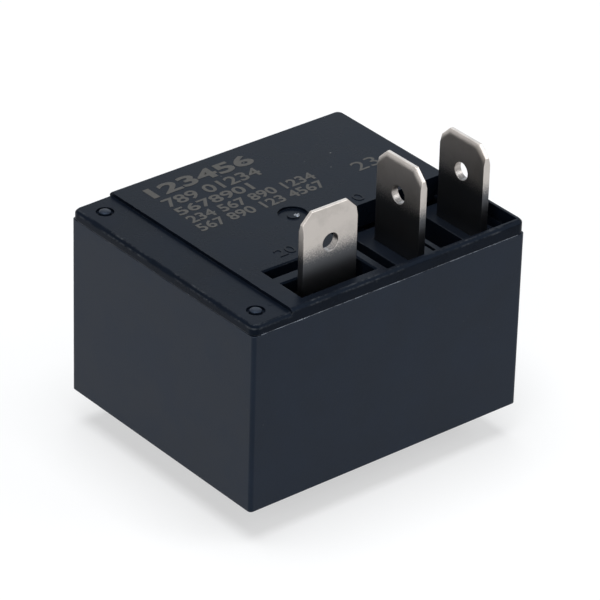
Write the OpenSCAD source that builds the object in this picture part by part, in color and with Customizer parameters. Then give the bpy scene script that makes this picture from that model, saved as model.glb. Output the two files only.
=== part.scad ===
// Board-mounted power relay with three flat quick-connect blades on its upper side.
// Millimetres, +Z up. The origin is the middle of the case outline, at the level of the pin tips.
// The long side of the case runs along X, and the front face looks along -Y.

/* [Case] */
// Length of the case along X
case_length = 32.3; // [31.5:0.1:36]
// Width of the case along Y
case_width = 27.4; // [26.8:0.1:31]
// Height of the case from the board up to the parting line
case_height = 18.6; // [18:0.1:23]
// Thickness of the case walls
case_wall = 1.0; // [0.85:0.05:1.2]
// Thickness of the thin rim above the inner ledge
case_rim = 0.6; // [0.5:0.05:0.7]
// Radius of the upright edges
corner_radius = 0.4; // [0.2:0.05:0.8]

/* [Top plate] */
// Thickness of the plate above the parting line
plate_thick = 1.45; // [1.2:0.05:2]
// Chamfer round the upper edges of the plate
plate_chamfer = 0.3; // [0.15:0.05:0.45]
// Radius of the plate's corners, seen from above
plate_corner_radius = 0.8; // [0.5:0.05:1.2]
// Depth that the skirt and the window walls reach below the parting line
skirt_depth = 1.0; // [0.7:0.05:1.4]
// Thickness of the skirt
skirt_thick = 0.8; // [0.6:0.05:1]
// Length of the low strip along the left edge
strip_length = 4.4; // [4:0.1:5]
// Drop of the low strip below the main level
strip_drop = 0.42; // [0.2:0.02:0.6]
// Diameter of the round vent dimple
vent_d = 2.9; // [2:0.1:3.5]
// Depth of the vent dimple
vent_depth = 0.25; // [0.1:0.05:0.5]
// Diameter of the nib in the vent dimple
vent_nib_d = 1.1; // [0.6:0.1:1.4]
// Distance of the vent dimple from the left end of the case
vent_inset_x = 15.45; // [13:0.05:18]

/* [Stakes] */
// Diameter of the two staked studs
stud_d = 1.15; // [1:0.05:1.3]
// Diameter of the ring sunk round each stud
stud_ring_d = 1.75; // [1.6:0.05:2]
// Depth of that ring
stud_ring_depth = 0.25; // [0.1:0.05:0.3]
// Width of the corner block left round that ring
stud_ring_margin = 0.2; // [0.1:0.05:0.4]
// Height of the domed stud heads above the low strip
stud_rise = 0.16; // [0.08:0.01:0.24]
// Distance of the studs from the left end
stud_inset_x = 2.1; // [1.9:0.05:2.4]
// Distance of the studs from the front and back faces
stud_inset_y = 2.4; // [2:0.05:2.8]

/* [Blades] */
// Width of the quick-connect blades
blade_width = 6.3; // [6:0.05:6.5]
// Thickness of the blades and of the terminals
blade_thick = 0.8; // [0.6:0.05:0.9]
// Height of the blade tips above the plate
blade_rise = 7.25; // [6.5:0.05:9]
// Diameter of the detent hole
blade_hole_d = 1.8; // [1.4:0.1:2.2]
// Distance of the detent hole below the tip
blade_hole_drop = 3.65; // [3:0.05:4.2]
// Chamfer on the tip corners
blade_chamfer = 1.1; // [0.6:0.05:1.6]
// Thickness left at the coined edges of the tip
blade_tip_thick = 0.36; // [0.2:0.02:0.5]
// Width of the coined bevel along the tip and its corners
blade_tip_bevel = 0.55; // [0.3:0.05:0.8]
// Distance from the left end to the middle of the common blade
com_inset_x = 10.8; // [10.4:0.05:11.2]
// Distance from the front face to the middle of the common blade
com_inset_y = 3.0; // [2.8:0.05:3.2]
// Distance from the right end to the middle of the normally closed blade
nc_inset_x = 2.84; // [2.6:0.02:3]
// Distance between the normally open and normally closed blades
blade_pitch = 7.66; // [7.5:0.02:8]
// Distance from the front face to the middle of those two blades
pair_inset_y = 5.75; // [5.6:0.05:6]

/* [Slots and window] */
// Length of the slot round the common blade
slot_length = 8.6; // [7.5:0.1:9]
// Gap between the common blade and the front edge of its slot
slot_gap_front = 1.35; // [0.8:0.05:1.5]
// Gap between the common blade and the back edge of its slot
slot_gap_back = 0.8; // [0.4:0.05:0.9]
// Width of the narrow slot behind it
rear_slot_width = 1.45; // [1.2:0.05:1.6]
// Bevel round the upper edges of both slots
slot_bevel = 0.15; // [0.05:0.05:0.25]
// Width of the rib between the slots and the window
window_rib = 0.85; // [0.6:0.05:1]
// Gap from the contact block to the back wall of the window
window_back_gap = 0.7; // [0.6:0.05:0.9]
// Width of the small ledge at the foot of that wall
window_ledge = 0.3; // [0.2:0.05:0.4]
// Height of that ledge
window_ledge_rise = 0.35; // [0.2:0.05:0.5]

/* [Contact block] */
// Height of the contact block
block_height = 3.2; // [2.6:0.1:3.6]
// Width of the ledge left of the normally open blade
no_ledge = 1.54; // [1:0.02:2]
// Width of the ledge left of the normally closed blade
nc_ledge = 1.1; // [0.9:0.05:1.3]
// Thickness of the walls round the deep hole of the contact block
block_wall = 0.95; // [0.7:0.05:1.1]
// Width of the thin rib beside the deep hole
block_rib = 0.6; // [0.4:0.05:0.8]
// Width of the groove beside that rib
block_groove = 0.3; // [0.2:0.05:0.4]
// Depth of that groove
block_groove_depth = 1.2; // [0.6:0.1:1.6]
// Side of the square legs under the contact block
block_leg = 1.0; // [0.7:0.1:1.2]

/* [Underside and pins] */
// Length of the pins below the case
pin_length = 3.5; // [3:0.1:5]
// Diameter of the coil pins
coil_pin_d = 1.0; // [0.8:0.1:1.1]
// Extra width of the square part of the coil pins inside the case
coil_pin_extra = 0.1; // [0.05:0.05:0.3]
// Width of the pins of the load terminals
load_pin_width = 1.5; // [1.2:0.1:2]
// Width of the shoulders that stand on the base plate
shoulder_width = 2.6; // [2.4:0.1:3.5]
// Taper length of the pin tips
pin_taper = 0.25; // [0.1:0.05:0.5]
// Depth of the potting layer inside the rim of the case
seal_recess = 0.3; // [0.1:0.05:0.5]
// Thickness of the potting layer
seal_thick = 0.4; // [0.2:0.05:0.6]
// Thickness of the base plate
base_thick = 1.2; // [0.9:0.05:1.5]

/* [Coil] */
// Diameter of the iron core, as a share of the flange width
core_share = 0.44; // [0.38:0.01:0.48]
// Diameter of the pole head, as a share of the flange width
head_share = 0.63; // [0.55:0.01:0.75]
// Thickness of the pole head
head_thick = 1.1; // [0.8:0.05:1.4]
// Width of the shoulder where the core ends in its staked shank
stake_shoulder = 0.7; // [0.4:0.05:0.9]
// Height of the staked end outside the yoke
stake_rise = 0.4; // [0.2:0.05:0.5]
// Wall of the bobbin tube, as a share of the flange width
tube_share = 0.06; // [0.04:0.005:0.08]
// Thickness of the bobbin flanges
flange_thick = 1.2; // [0.9:0.05:1.5]
// Room between the winding and the edges of the flanges
flange_lip = 0.4; // [0.3:0.05:0.6]
// Room left above and below the flanges
flange_room = 2.0; // [1.5:0.1:2.4]
// Corner radius of the flanges
flange_radius = 0.8; // [0.4:0.1:1.2]
// Thickness of the tape round the winding
tape_thick = 0.12; // [0.06:0.02:0.2]
// Length of the pin bosses along X
boss_length = 3.0; // [2.6:0.1:3.4]
// Width of the pin bosses along Y
boss_width = 2.4; // [2:0.1:2.8]
// Height that the pin bosses reach up along the flanges
boss_lap = 1.0; // [0.6:0.05:1.4]
// Distance of the pin axis from the outer end of its boss
boss_pin_inset = 1.75; // [1.4:0.05:1.9]
// Distance of the coil pins from the yoke
coil_pin_gap = 1.7; // [1.4:0.05:2]
// Height of the pin ends above their bosses
coil_pin_stub = 0.5; // [0.3:0.05:0.6]
// Diameter of the lead wires
lead_d = 0.3; // [0.2:0.02:0.34]
// Sideways run of the leads from their pins to the tape
lead_shift = 1.0; // [0.6:0.1:1.4]

/* [Yoke and armature] */
// Thickness of the yoke
yoke_thick = 1.4; // [1.1:0.05:1.6]
// Inside bend radius of the yoke
yoke_bend = 0.2; // [0.1:0.05:0.4]
// Margin of the yoke inside the height of the flanges
yoke_margin = 0.9; // [0.6:0.1:1.4]
// Angle that the armature turns between rest and pull-in, in degrees
armature_travel = 2.9; // [2:0.1:3.2]
// Thickness of the armature
armature_thick = 1.3; // [1.1:0.05:1.5]
// Margin of the armature inside the height of the yoke
armature_margin = 0.5; // [0.2:0.1:1]
// Thickness left at the bevelled hinge edge of the armature
hinge_edge = 0.2; // [0.1:0.05:0.4]
// Distance of the hinge line inside the back of the yoke
hinge_inset = 0.1; // [0.05:0.05:0.2]
// Reach of the armature past the middle of the core
armature_reach = 5.0; // [4.6:0.1:5.4]
// Room behind the yoke for the leaf spring and its rivets
spring_room = 1.4; // [1:0.1:1.8]
// Thickness of the leaf spring
leaf_thick = 0.2; // [0.12:0.02:0.24]
// Width of the leaf spring
leaf_width = 6.0; // [4.8:0.1:8]
// Length of the leaf spring along the yoke
leaf_length = 8.0; // [7:0.1:10]
// Length of the leaf spring along the armature
leaf_drop = 3.4; // [3:0.1:3.6]
// Width of the window that leaves two legs in the bend of the leaf spring
leaf_window = 2.6; // [1.6:0.1:3]
// Reach of that window along the yoke
leaf_window_reach = 0.9; // [0.4:0.1:1.2]

/* [Contacts] */
// Thickness of the contact arm
arm_thick = 0.4; // [0.3:0.02:0.5]
// Width of the contact arm
arm_width = 6.0; // [5:0.1:6.4]
// Length of the arm past the moving contact
arm_nose = 2.6; // [2.3:0.1:3]
// Corner radius of the arm
arm_radius = 1.5; // [0.8:0.1:2]
// Diameter of the contact heads
contact_d = 4.0; // [3:0.1:4.2]
// Height of the fixed normally open contact
contact_rise = 1.0; // [0.8:0.05:1.2]
// Height of each head of the moving contact
moving_rise = 1.05; // [0.9:0.05:1.1]
// Bevel round the contact heads
contact_bevel = 0.3; // [0.1:0.05:0.5]
// Diameter of the contact shanks
contact_shank_d = 1.8; // [1.4:0.1:2]
// Sideways step in the normally open terminal below the block
no_joggle = 1.2; // [1:0.05:1.4]
// Sideways step in the common terminal below the plate
com_joggle = 3.2; // [3:0.05:3.4]
// Height of the lower edge of the terminals above the base plate
limb_rise = 3.6; // [3:0.1:4.2]
// Diameter of the rivet shanks
rivet_d = 1.2; // [1:0.05:1.4]
// Diameter of the rivet heads
rivet_head_d = 2.0; // [1.8:0.1:2.2]
// Height of the rivet heads
rivet_rise = 0.4; // [0.3:0.05:0.5]
// Distance between the rivets of each pair
rivet_pitch = 2.8; // [2.5:0.1:3]
// Diameter of the flexible braid
braid_d = 1.0; // [0.8:0.05:1.05]
// Height of the braid ends below the coil axis
braid_drop = 2.0; // [1.6:0.1:2.4]
// Extra drop of the middle of the braid
braid_sag = 1.0; // [0.4:0.1:1.4]
// Length of the straight end of the braid before the arm
braid_lead = 2.4; // [1.8:0.1:2.8]
// Thickness of the insulating barrier
barrier_thick = 0.25; // [0.15:0.05:0.3]

/* [Clearances] */
// Gap round pieces that slot into each other
fit_gap = 0.05; // [0.02:0.01:0.08]
// Gap left between closed contacts and at the pole face
closed_gap = 0.04; // [0.02:0.01:0.06]
// Gap on each side of the braid
braid_gap = 0.25; // [0.2:0.05:0.4]
// Gap beside pieces that must stay clear of each other
free_gap = 0.2; // [0.1:0.05:0.3]
// Gap between the layers of the coil
wrap_gap = 0.02; // [0.01:0.005:0.03]

/* [Hidden] */
$fn = 48;

plastic_black = "#262b33";
tin_plate = "#b9b2ac";
iron_grey = "#8d9094";
copper_red = "#b06a43";
silver_white = "#cfcfca";

// Overlap of a cutter past the face that it opens
over = 1;
// Smallest radius of an inside corner
least_radius = 0.1;

// Faces of the case, outside and inside
x_left = -case_length / 2;
x_right = case_length / 2;
y_front = -case_width / 2;
y_back = case_width / 2;
in_left = x_left + case_wall;
in_right = x_right - case_wall;
in_front = y_front + case_wall;
in_back = y_back - case_wall;

// Levels above the board
base_low = seal_recess + seal_thick;
base_top = base_low + base_thick;
ledge_z = case_height - skirt_depth;
plate_top = case_height + plate_thick;
strip_z = plate_top - strip_drop;
tip_z = plate_top + blade_rise;
block_z = ledge_z - block_height;
coil_z = (base_top + case_height) / 2;

// Middles of the blades and of the lower limbs of their terminals
com_x = x_left + com_inset_x;
com_y = y_front + com_inset_y;
com_limb_y = com_y + com_joggle;
nc_x = x_right - nc_inset_x;
no_x = nc_x - blade_pitch;
no_limb_x = no_x + no_joggle;
pair_y = y_front + pair_inset_y;

// Slots and window in the plate
slot_left = com_x - slot_length / 2;
slot_right = com_x + slot_length / 2;
window_left = slot_right + window_rib;
window_right = x_right - case_rim;
window_front = y_front + case_rim;

// Magnet system, worked out from the contacts towards the coil, with the contacts closed
arm_x = no_limb_x + blade_thick / 2 + contact_rise + closed_gap + moving_rise;
armature_x = arm_x - armature_thick;
pole_x = armature_x - closed_gap;
yoke_out_y = in_back - spring_room;
yoke_in_y = yoke_out_y - yoke_thick;
yoke_out_x = in_left + stake_rise + free_gap;
yoke_in_x = yoke_out_x + yoke_thick;
hinge = [armature_x, yoke_out_y - hinge_inset, 0];
hinge_bevel = armature_thick - hinge_edge;
yoke_bend_out = yoke_bend + yoke_thick;

// Barrier and coil, in the room between the blades and the yoke
braid_y = pair_y + blade_width / 2 + braid_gap + braid_d / 2;
barrier_y = braid_y + braid_d / 2 + braid_gap;
block_back = barrier_y + barrier_thick;
window_back = block_back + window_back_gap;
flange_front = block_back + fit_gap;
flange_back = yoke_in_y - yoke_bend - fit_gap;
flange_width = flange_back - flange_front;
flange_height = case_height - base_top - 2 * flange_room;
coil_y = (flange_front + flange_back) / 2;
winding_r = min(flange_width, flange_height) / 2 - flange_lip;
tape_r = winding_r + tape_thick;
core_d = flange_width * core_share;
head_d = flange_width * head_share;
stake_d = core_d - 2 * stake_shoulder;
tube_in_r = core_d / 2 + fit_gap;
tube_out_r = tube_in_r + flange_width * tube_share;
bobbin_left = yoke_in_x;
bobbin_right = pole_x - head_thick;
winding_left = bobbin_left + flange_thick;
winding_right = bobbin_right - flange_thick;
yoke_height = flange_height - 2 * yoke_margin;
armature_height = yoke_height - 2 * armature_margin;
armature_front = coil_y - armature_reach;

// Coil pins
coil_pin_y = yoke_in_y - coil_pin_gap;
start_pin_x = bobbin_left + boss_pin_inset;
finish_pin_x = bobbin_right - boss_pin_inset;
coil_pin_square = coil_pin_d + coil_pin_extra;
coil_pin_hole = coil_pin_square + fit_gap;
boss_top = coil_z - flange_height / 2 + boss_lap;
coil_pin_top = boss_top + coil_pin_stub;

// Rivets
leaf_rivet_y = hinge[1] - hinge_bevel - leaf_drop / 2;
arm_rivet_y = coil_y;
rivet_hole_d = rivet_d + fit_gap;

// Deep hole of the contact block, over the sweep of the arm
hole_left = arm_x - free_gap;
hole_right = nc_x - blade_thick / 2 - nc_ledge;
hole_front = in_front + block_wall;
hole_back = block_back - block_wall;

// Turn of a plan point with the armature, from closed to rest
function to_rest(p) = [
    hinge[0] + (p[0] - hinge[0]) * cos(armature_travel) - (p[1] - hinge[1]) * sin(armature_travel),
    hinge[1] + (p[0] - hinge[0]) * sin(armature_travel) + (p[1] - hinge[1]) * cos(armature_travel)
];

// Normally closed contact, whose face meets the moving contact at rest
moving_face_r = contact_d / 2 - contact_bevel;
moving_face_x = arm_x + arm_thick + moving_rise;
nc_face_x = to_rest([moving_face_x, pair_y - moving_face_r])[0] + closed_gap;
nc_rise = nc_x - blade_thick / 2 - nc_face_x;

// Outline of a strip of even thickness along a path, with mitred corners
function unit(v) = v / norm(v);
function left_of(v) = [-v[1], v[0]];
function side_before(p, i) = left_of(unit(i > 0 ? p[i] - p[i - 1] : p[1] - p[0]));
function side_after(p, i) = left_of(unit(i < len(p) - 1 ? p[i + 1] - p[i] : p[i] - p[i - 1]));
function mitre(p, i, d) =
    let (a = side_before(p, i), b = side_after(p, i))
    p[i] + d * (a + b) / (1 + a * b);
function strip_side(p, d) = [for (i = [0 : len(p) - 1]) mitre(p, i, d)];
function reversed(p) = [for (i = [len(p) - 1 : -1 : 0]) p[i]];
function strip(p, t) = concat(strip_side(p, t / 2), reversed(strip_side(p, -t / 2)));

// Points of a round tube along a path in space, ring by ring, with an up direction that no path follows
tube_sides = 8;
tube_up = [0.21, 0.34, 0.92];
function path_dir(p, i) = unit(p[min(i + 1, len(p) - 1)] - p[max(i - 1, 0)]);
function tube_ring(p, i, r) =
    let (t = path_dir(p, i), s = unit(cross(t, tube_up)), u = cross(s, t))
    [for (k = [0 : tube_sides - 1])
        p[i] + r * (s * cos(k * 360 / tube_sides) + u * sin(k * 360 / tube_sides))];
function tube_wall_faces(rings) = [
    for (i = [0 : rings - 2], k = [0 : tube_sides - 1])
        let (a = i * tube_sides, n = (k + 1) % tube_sides)
        [a + k, a + n, a + n + tube_sides, a + k + tube_sides]
];
function tube_faces(rings) = concat(
    tube_wall_faces(rings),
    [[for (k = [tube_sides - 1 : -1 : 0]) k]],
    [[for (k = [0 : tube_sides - 1]) (rings - 1) * tube_sides + k]]
);

// Smooth curve through hand-picked points, with several steps between each two
curve_steps = 4;
function curve_at(a, b, c, d, t) =
    0.5 * ((2 * b) + (c - a) * t + (2 * a - 5 * b + 4 * c - d) * t * t
        + (3 * b - a - 3 * c + d) * t * t * t);
function curve(p) = concat(
    [for (i = [0 : len(p) - 2], s = [0 : curve_steps - 1])
        curve_at(p[max(i - 1, 0)], p[i], p[i + 1], p[min(i + 2, len(p) - 1)], s / curve_steps)],
    [p[len(p) - 1]]
);

// Box between two opposite corners
module box(low, high) {
    translate(low) cube(high - low);
}

// Square post on the Z axis from one level to another
module post(side, z0, z1) {
    translate([-side / 2, -side / 2, z0]) cube([side, side, z1 - z0]);
}

// Everything is drawn from the board up, with the pin tips at zero
module on_board() {
    translate([0, 0, pin_length]) children();
}

// Pieces of the armature are drawn closed and turned open to rest
module at_rest() {
    translate(hinge) rotate([0, 0, armature_travel]) translate(-hinge) children();
}

// Cylinder along X from one level to another
module rod_x(x0, x1, d) {
    translate([x0, 0, 0]) rotate([0, 90, 0]) cylinder(d = d, h = x1 - x0);
}

// Coil axis
module on_coil() {
    translate([0, coil_y, coil_z]) children();
}

// Rectangle with round corners
module round_rect(length, width, r) {
    square([length - 2 * r, width], center = true);
    square([length, width - 2 * r], center = true);
    for (sx = [-1, 1], sy = [-1, 1])
        translate([sx * (length / 2 - r), sy * (width / 2 - r)]) circle(r = r);
}

// Outline of the case, set in by a wall, from one level to another
module case_prism(inset, z0, z1) {
    r = max(corner_radius - inset, least_radius);
    translate([0, 0, z0])
        linear_extrude(z1 - z0) round_rect(case_length - 2 * inset, case_width - 2 * inset, r);
}

// Middles of the two stakes
module at_stakes() {
    for (side = [-1, 1])
        translate([x_left + stud_inset_x, side * (y_back - stud_inset_y), 0]) children();
}

// Corner blocks that carry the stakes, from the case walls inwards
stake_block = stud_ring_d / 2 + stud_ring_margin;
stake_block_height = 2 * skirt_depth;
module stake_blocks(grow) {
    low = [x_left, y_back - stud_inset_y - stake_block - grow, case_height - stake_block_height];
    high = [x_left + stud_inset_x + stake_block + grow, y_back, case_height];
    intersection() {
        case_prism(case_rim / 2, low[2], high[2]);
        for (flip = [0, 1]) mirror([0, flip, 0]) box(low, high);
    }
}

// Places along the walls where small stops hold the base plate down
stop_length = 2.0;
stop_depth = 0.35;
stop_height = 0.6;
module base_stops() {
    for (sx = [-1, 1])
        translate([sx * case_length / 4 - stop_length / 2, 0, base_top]) {
            box([0, in_front - fit_gap, 0], [stop_length, in_front + stop_depth, stop_height]);
            box([0, in_back - stop_depth, 0], [stop_length, in_back + fit_gap, stop_height]);
        }
}

// Stud through the plate with a domed head, from its foot in the corner block
stud_dome_steps = 5;
stud_dome_end = 75;
module stud() {
    r = stud_d / 2;
    head = [
        for (i = [0 : stud_dome_steps])
            let (angle = i * stud_dome_end / stud_dome_steps)
            [r * cos(angle), strip_z + stud_rise * sin(angle)]
    ];
    foot_z = case_height - over;
    rotate_extrude() polygon(concat(
        [[0, foot_z], [r, foot_z]],
        head,
        [[0, head[stud_dome_steps][1]]]
    ));
}

// Housing with four walls, a thin rim for the plate, stops for the base and two stake posts
module case() {
    color(plastic_black) on_board() {
        difference() {
            case_prism(0, 0, case_height);
            case_prism(case_wall, -over, case_height + over);
            case_prism(case_rim, ledge_z, case_height + over);
        }
        stake_blocks(0);
        base_stops();
        at_stakes() stud();
    }
}

// Skirt of the plate inside the rim of the case, drawn up into the plate
module plate_skirt() {
    skirt_z = case_height + plate_thick / 2;
    difference() {
        case_prism(case_rim + fit_gap, ledge_z, skirt_z);
        case_prism(case_rim + fit_gap + skirt_thick, ledge_z - over, case_height + over);
        stake_blocks(fit_gap);
    }
    box([window_left - window_rib, window_front + fit_gap, ledge_z],
        [window_left, window_back, skirt_z]);
    box([window_left - window_rib, window_back, ledge_z],
        [window_right - fit_gap, window_back + skirt_thick, skirt_z]);
}

// Section across the chamfered rim of the plate
module rim_side(span) {
    polygon([
        [-span / 2, 0],
        [span / 2, 0],
        [span / 2 - plate_chamfer, plate_chamfer],
        [-span / 2 + plate_chamfer, plate_chamfer]
    ]);
}

// Plain plate up to one level, chamfered round its upper edge, with conical corners
module plate_blank(top) {
    length = case_length - 2 * plate_corner_radius;
    width = case_width - 2 * plate_corner_radius;
    rim_z = top - plate_chamfer;
    translate([0, 0, case_height])
        linear_extrude(rim_z - case_height) round_rect(case_length, case_width, plate_corner_radius);
    for (sx = [-1, 1], sy = [-1, 1])
        translate([sx * length / 2, sy * width / 2, rim_z])
            cylinder(r1 = plate_corner_radius, r2 = plate_corner_radius - plate_chamfer, h = plate_chamfer);
    rotate([90, 0, 90]) translate([0, rim_z, -length / 2]) linear_extrude(length) rim_side(case_width);
    rotate([90, 0, 0]) translate([0, rim_z, -width / 2]) linear_extrude(width) rim_side(case_length);
}

// Plate at its main level, with the low strip along the left edge
module plate_form() {
    low = [x_left - over, y_front - over, case_height - over];
    high = [x_left + strip_length, y_back + over, plate_top + over];
    difference() {
        plate_blank(plate_top);
        box(low, high);
    }
    intersection() {
        plate_blank(strip_z);
        box(low, high + [over, 0, 0]);
    }
}

// Slot through the plate round a terminal, with bevelled upper edges
module slot(y0, y1) {
    grow = slot_bevel + over;
    box([slot_left, y0, ledge_z - over], [slot_right, y1, plate_top + over]);
    polyhedron(
        points = [
            [slot_left, y0, plate_top - slot_bevel],
            [slot_right, y0, plate_top - slot_bevel],
            [slot_right, y1, plate_top - slot_bevel],
            [slot_left, y1, plate_top - slot_bevel],
            [slot_left - grow, y0 - grow, plate_top + over],
            [slot_right + grow, y0 - grow, plate_top + over],
            [slot_right + grow, y1 + grow, plate_top + over],
            [slot_left - grow, y1 + grow, plate_top + over]
        ],
        faces = [
            [0, 1, 2, 3], [7, 6, 5, 4],
            [4, 5, 1, 0], [5, 6, 2, 1], [6, 7, 3, 2], [7, 4, 0, 3]
        ]
    );
}

// Moulded plate with the low strip, the slots, the window and the vent dimple
module top_plate() {
    color(plastic_black) on_board() difference() {
        union() {
            plate_form();
            plate_skirt();
        }
        slot(com_y - blade_thick / 2 - slot_gap_front, com_y + blade_thick / 2 + slot_gap_back);
        slot(com_limb_y - rear_slot_width / 2, com_limb_y + rear_slot_width / 2);
        difference() {
            box([window_left, window_front, ledge_z - over],
                [window_right, window_back, plate_top + over]);
            box([window_left, window_back - window_ledge, ledge_z],
                [window_right - fit_gap, window_back, ledge_z + window_ledge_rise]);
        }
        at_stakes() {
            translate([0, 0, case_height - over])
                cylinder(d = stud_d + 2 * fit_gap, h = plate_thick + 2 * over);
            translate([0, 0, strip_z - stud_ring_depth])
                cylinder(d = stud_ring_d, h = stud_ring_depth + over);
        }
        translate([x_left + vent_inset_x, 0, plate_top - vent_depth]) difference() {
            cylinder(d = vent_d, h = vent_depth + over);
            cylinder(d = vent_nib_d, h = vent_depth / 2);
        }
    }
}

// Openings for the five pins through the floor
module pin_openings(z0, z1) {
    for (x = [start_pin_x, finish_pin_x])
        translate([x, coil_pin_y, 0]) post(coil_pin_hole, z0, z1);
    w = load_pin_width + fit_gap;
    t = blade_thick + fit_gap;
    translate([com_x, com_limb_y, (z0 + z1) / 2]) cube([w, t, z1 - z0], center = true);
    for (x = [no_limb_x, nc_x])
        translate([x, pair_y, (z0 + z1) / 2]) cube([t, w, z1 - z0], center = true);
}

// Layer that fills the underside between two levels, pierced by the pins
module floor_layer(z0, z1) {
    difference() {
        case_prism(case_wall + fit_gap, z0, z1);
        pin_openings(z0 - over, z1 + over);
    }
}

// Moulded floor that the pins pass through
module base_plate() {
    color(plastic_black) on_board() floor_layer(base_low, base_top);
}

// Potting layer under the floor
module base_seal() {
    color("#3a3f45") on_board() floor_layer(seal_recess, base_low);
}

// Moulded block under the window that holds the two load blades apart
module contact_block() {
    low = [no_x - blade_thick / 2 - no_ledge, in_front + fit_gap, block_z];
    high = [in_right - fit_gap, block_back, ledge_z];
    groove_right = hole_left - block_rib;
    blade_hole = [blade_thick + fit_gap, blade_width + 2 * fit_gap, block_height + 2 * over];
    color(plastic_black) on_board() {
        difference() {
            box(low, high);
            box([hole_left, hole_front, block_z - over], [hole_right, hole_back, ledge_z + over]);
            box([groove_right - block_groove, hole_front, ledge_z - block_groove_depth],
                [groove_right, hole_back, ledge_z + over]);
            for (x = [no_x, nc_x])
                translate([x, pair_y, ledge_z - block_height / 2]) cube(blade_hole, center = true);
        }
        for (x = [low[0], high[0] - block_leg])
            box([x, low[1], base_top], [x + block_leg, low[1] + block_leg, block_z]);
    }
}

// Insulating sheet between the contacts and the coil
module barrier() {
    color("#c9b98a") on_board()
        box([in_left + fit_gap, barrier_y, base_top], [arm_x - free_gap, block_back, block_z]);
}

// Side view of a terminal: lower limb, sideways step and blade, drawn along its thickness
function terminal_path(step, z_low, z_high) = [
    [step, -pin_length],
    [step, z_low],
    [0, z_high],
    [0, tip_z]
];

// Front view of a terminal: pin, shoulders, limb and blade with chamfered tip
function terminal_half() = [
    [load_pin_width / 2 - pin_taper, -pin_length],
    [load_pin_width / 2, pin_taper - pin_length],
    [load_pin_width / 2, base_top],
    [shoulder_width / 2, base_top],
    [shoulder_width / 2, base_top + limb_rise],
    [blade_width / 2, base_top + limb_rise],
    [blade_width / 2, tip_z - blade_chamfer],
    [blade_width / 2 - blade_chamfer, tip_z]
];
function flipped(p) = [for (q = p) [-q[0], q[1]]];
function terminal_front() = concat(terminal_half(), reversed(flipped(terminal_half())));

// Wedges that coin both faces of a blade along an edge on the X axis
module coined_edge() {
    angle = atan2((blade_thick - blade_tip_thick) / 2, blade_tip_bevel);
    for (flip = [0, 1]) mirror([0, flip, 0])
        translate([0, blade_tip_thick / 2, 0]) rotate([angle, 0, 0])
            box([-blade_width, 0, -2 * blade_tip_bevel], [blade_width, blade_thick, over]);
}

// Coined bevels along the tip of a blade and its two chamfered corners
module coined_tip() {
    corner = [blade_width / 2 - blade_chamfer / 2, 0, tip_z - blade_chamfer / 2];
    translate([0, 0, tip_z]) coined_edge();
    for (flip = [0, 1]) mirror([flip, 0, 0])
        translate(corner) rotate([0, 45, 0]) coined_edge();
}

// Stamped terminal with its blade on the Z axis and its width along X, stepping along Y
module terminal(step, z_low, z_high, shank_z) {
    depth = 2 * (abs(step) + blade_thick);
    difference() {
        intersection() {
            rotate([90, 0, 90]) translate([0, 0, -blade_width])
                linear_extrude(2 * blade_width)
                    polygon(strip(terminal_path(step, z_low, z_high), blade_thick));
            rotate([90, 0, 0]) translate([0, 0, -depth])
                linear_extrude(2 * depth) polygon(terminal_front());
        }
        coined_tip();
        translate([0, 0, tip_z - blade_hole_drop]) rotate([90, 0, 0])
            cylinder(d = blade_hole_d, h = 2 * blade_thick, center = true);
        if (shank_z > 0)
            translate([0, step, shank_z]) rotate([90, 0, 0])
                cylinder(d = contact_shank_d + fit_gap, h = 2 * blade_thick, center = true);
    }
}

// Levels of the step in the terminals
pair_step_high = block_z - free_gap;
pair_step_low = pair_step_high - no_joggle;
com_step_high = ledge_z - free_gap;
com_step_low = com_step_high - com_joggle;

// Common terminal, stepped back below the plate
module com_terminal() {
    color(tin_plate) on_board() translate([com_x, com_y, 0])
        terminal(com_joggle, com_step_low, com_step_high, 0);
}

// Normally open terminal, stepped towards the arm below the block
module no_terminal() {
    color(tin_plate) on_board() translate([no_x, pair_y, 0]) rotate([0, 0, 90])
        terminal(-no_joggle, pair_step_low, pair_step_high, coil_z);
}

// Normally closed terminal, straight
module nc_terminal() {
    color(tin_plate) on_board() translate([nc_x, pair_y, 0]) rotate([0, 0, 90])
        terminal(0, pair_step_low, pair_step_high, coil_z);
}

// Contact rivet along X: shank from zero back through its carrier, bevelled head from zero forward
module contact_rivet(rise, carrier) {
    rotate([0, 90, 0]) rotate_extrude() polygon([
        [0, -carrier],
        [contact_shank_d / 2, -carrier],
        [contact_shank_d / 2, 0],
        [contact_d / 2, 0],
        [contact_d / 2, rise - contact_bevel],
        [contact_d / 2 - contact_bevel, rise],
        [0, rise]
    ]);
}

// Fixed contact on the normally open terminal
module no_contact() {
    color(silver_white) on_board() translate([no_limb_x + blade_thick / 2, pair_y, coil_z])
        contact_rivet(contact_rise, blade_thick);
}

// Fixed contact on the normally closed terminal
module nc_contact() {
    color(silver_white) on_board() translate([nc_x - blade_thick / 2, pair_y, coil_z]) mirror([1, 0, 0])
        contact_rivet(nc_rise, blade_thick);
}

// Contact on the arm, with a head on each side
module moving_contact() {
    color(silver_white) on_board() at_rest() translate([arm_x, pair_y, coil_z]) {
        translate([arm_thick, 0, 0]) contact_rivet(moving_rise, arm_thick / 2);
        mirror([1, 0, 0]) contact_rivet(moving_rise, arm_thick);
    }
}

// Round board pin with a tapered tip and a square end in its boss
module coil_pin(x) {
    r = coil_pin_d / 2;
    translate([x, coil_pin_y, 0]) {
        rotate_extrude() polygon([
            [0, -pin_length],
            [r - pin_taper, -pin_length],
            [r, pin_taper - pin_length],
            [r, base_low],
            [0, base_low]
        ]);
        post(coil_pin_square, seal_recess, coil_pin_top);
    }
}

module coil_pin_start() {
    color(tin_plate) on_board() coil_pin(start_pin_x);
}

module coil_pin_finish() {
    color(tin_plate) on_board() coil_pin(finish_pin_x);
}

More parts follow.
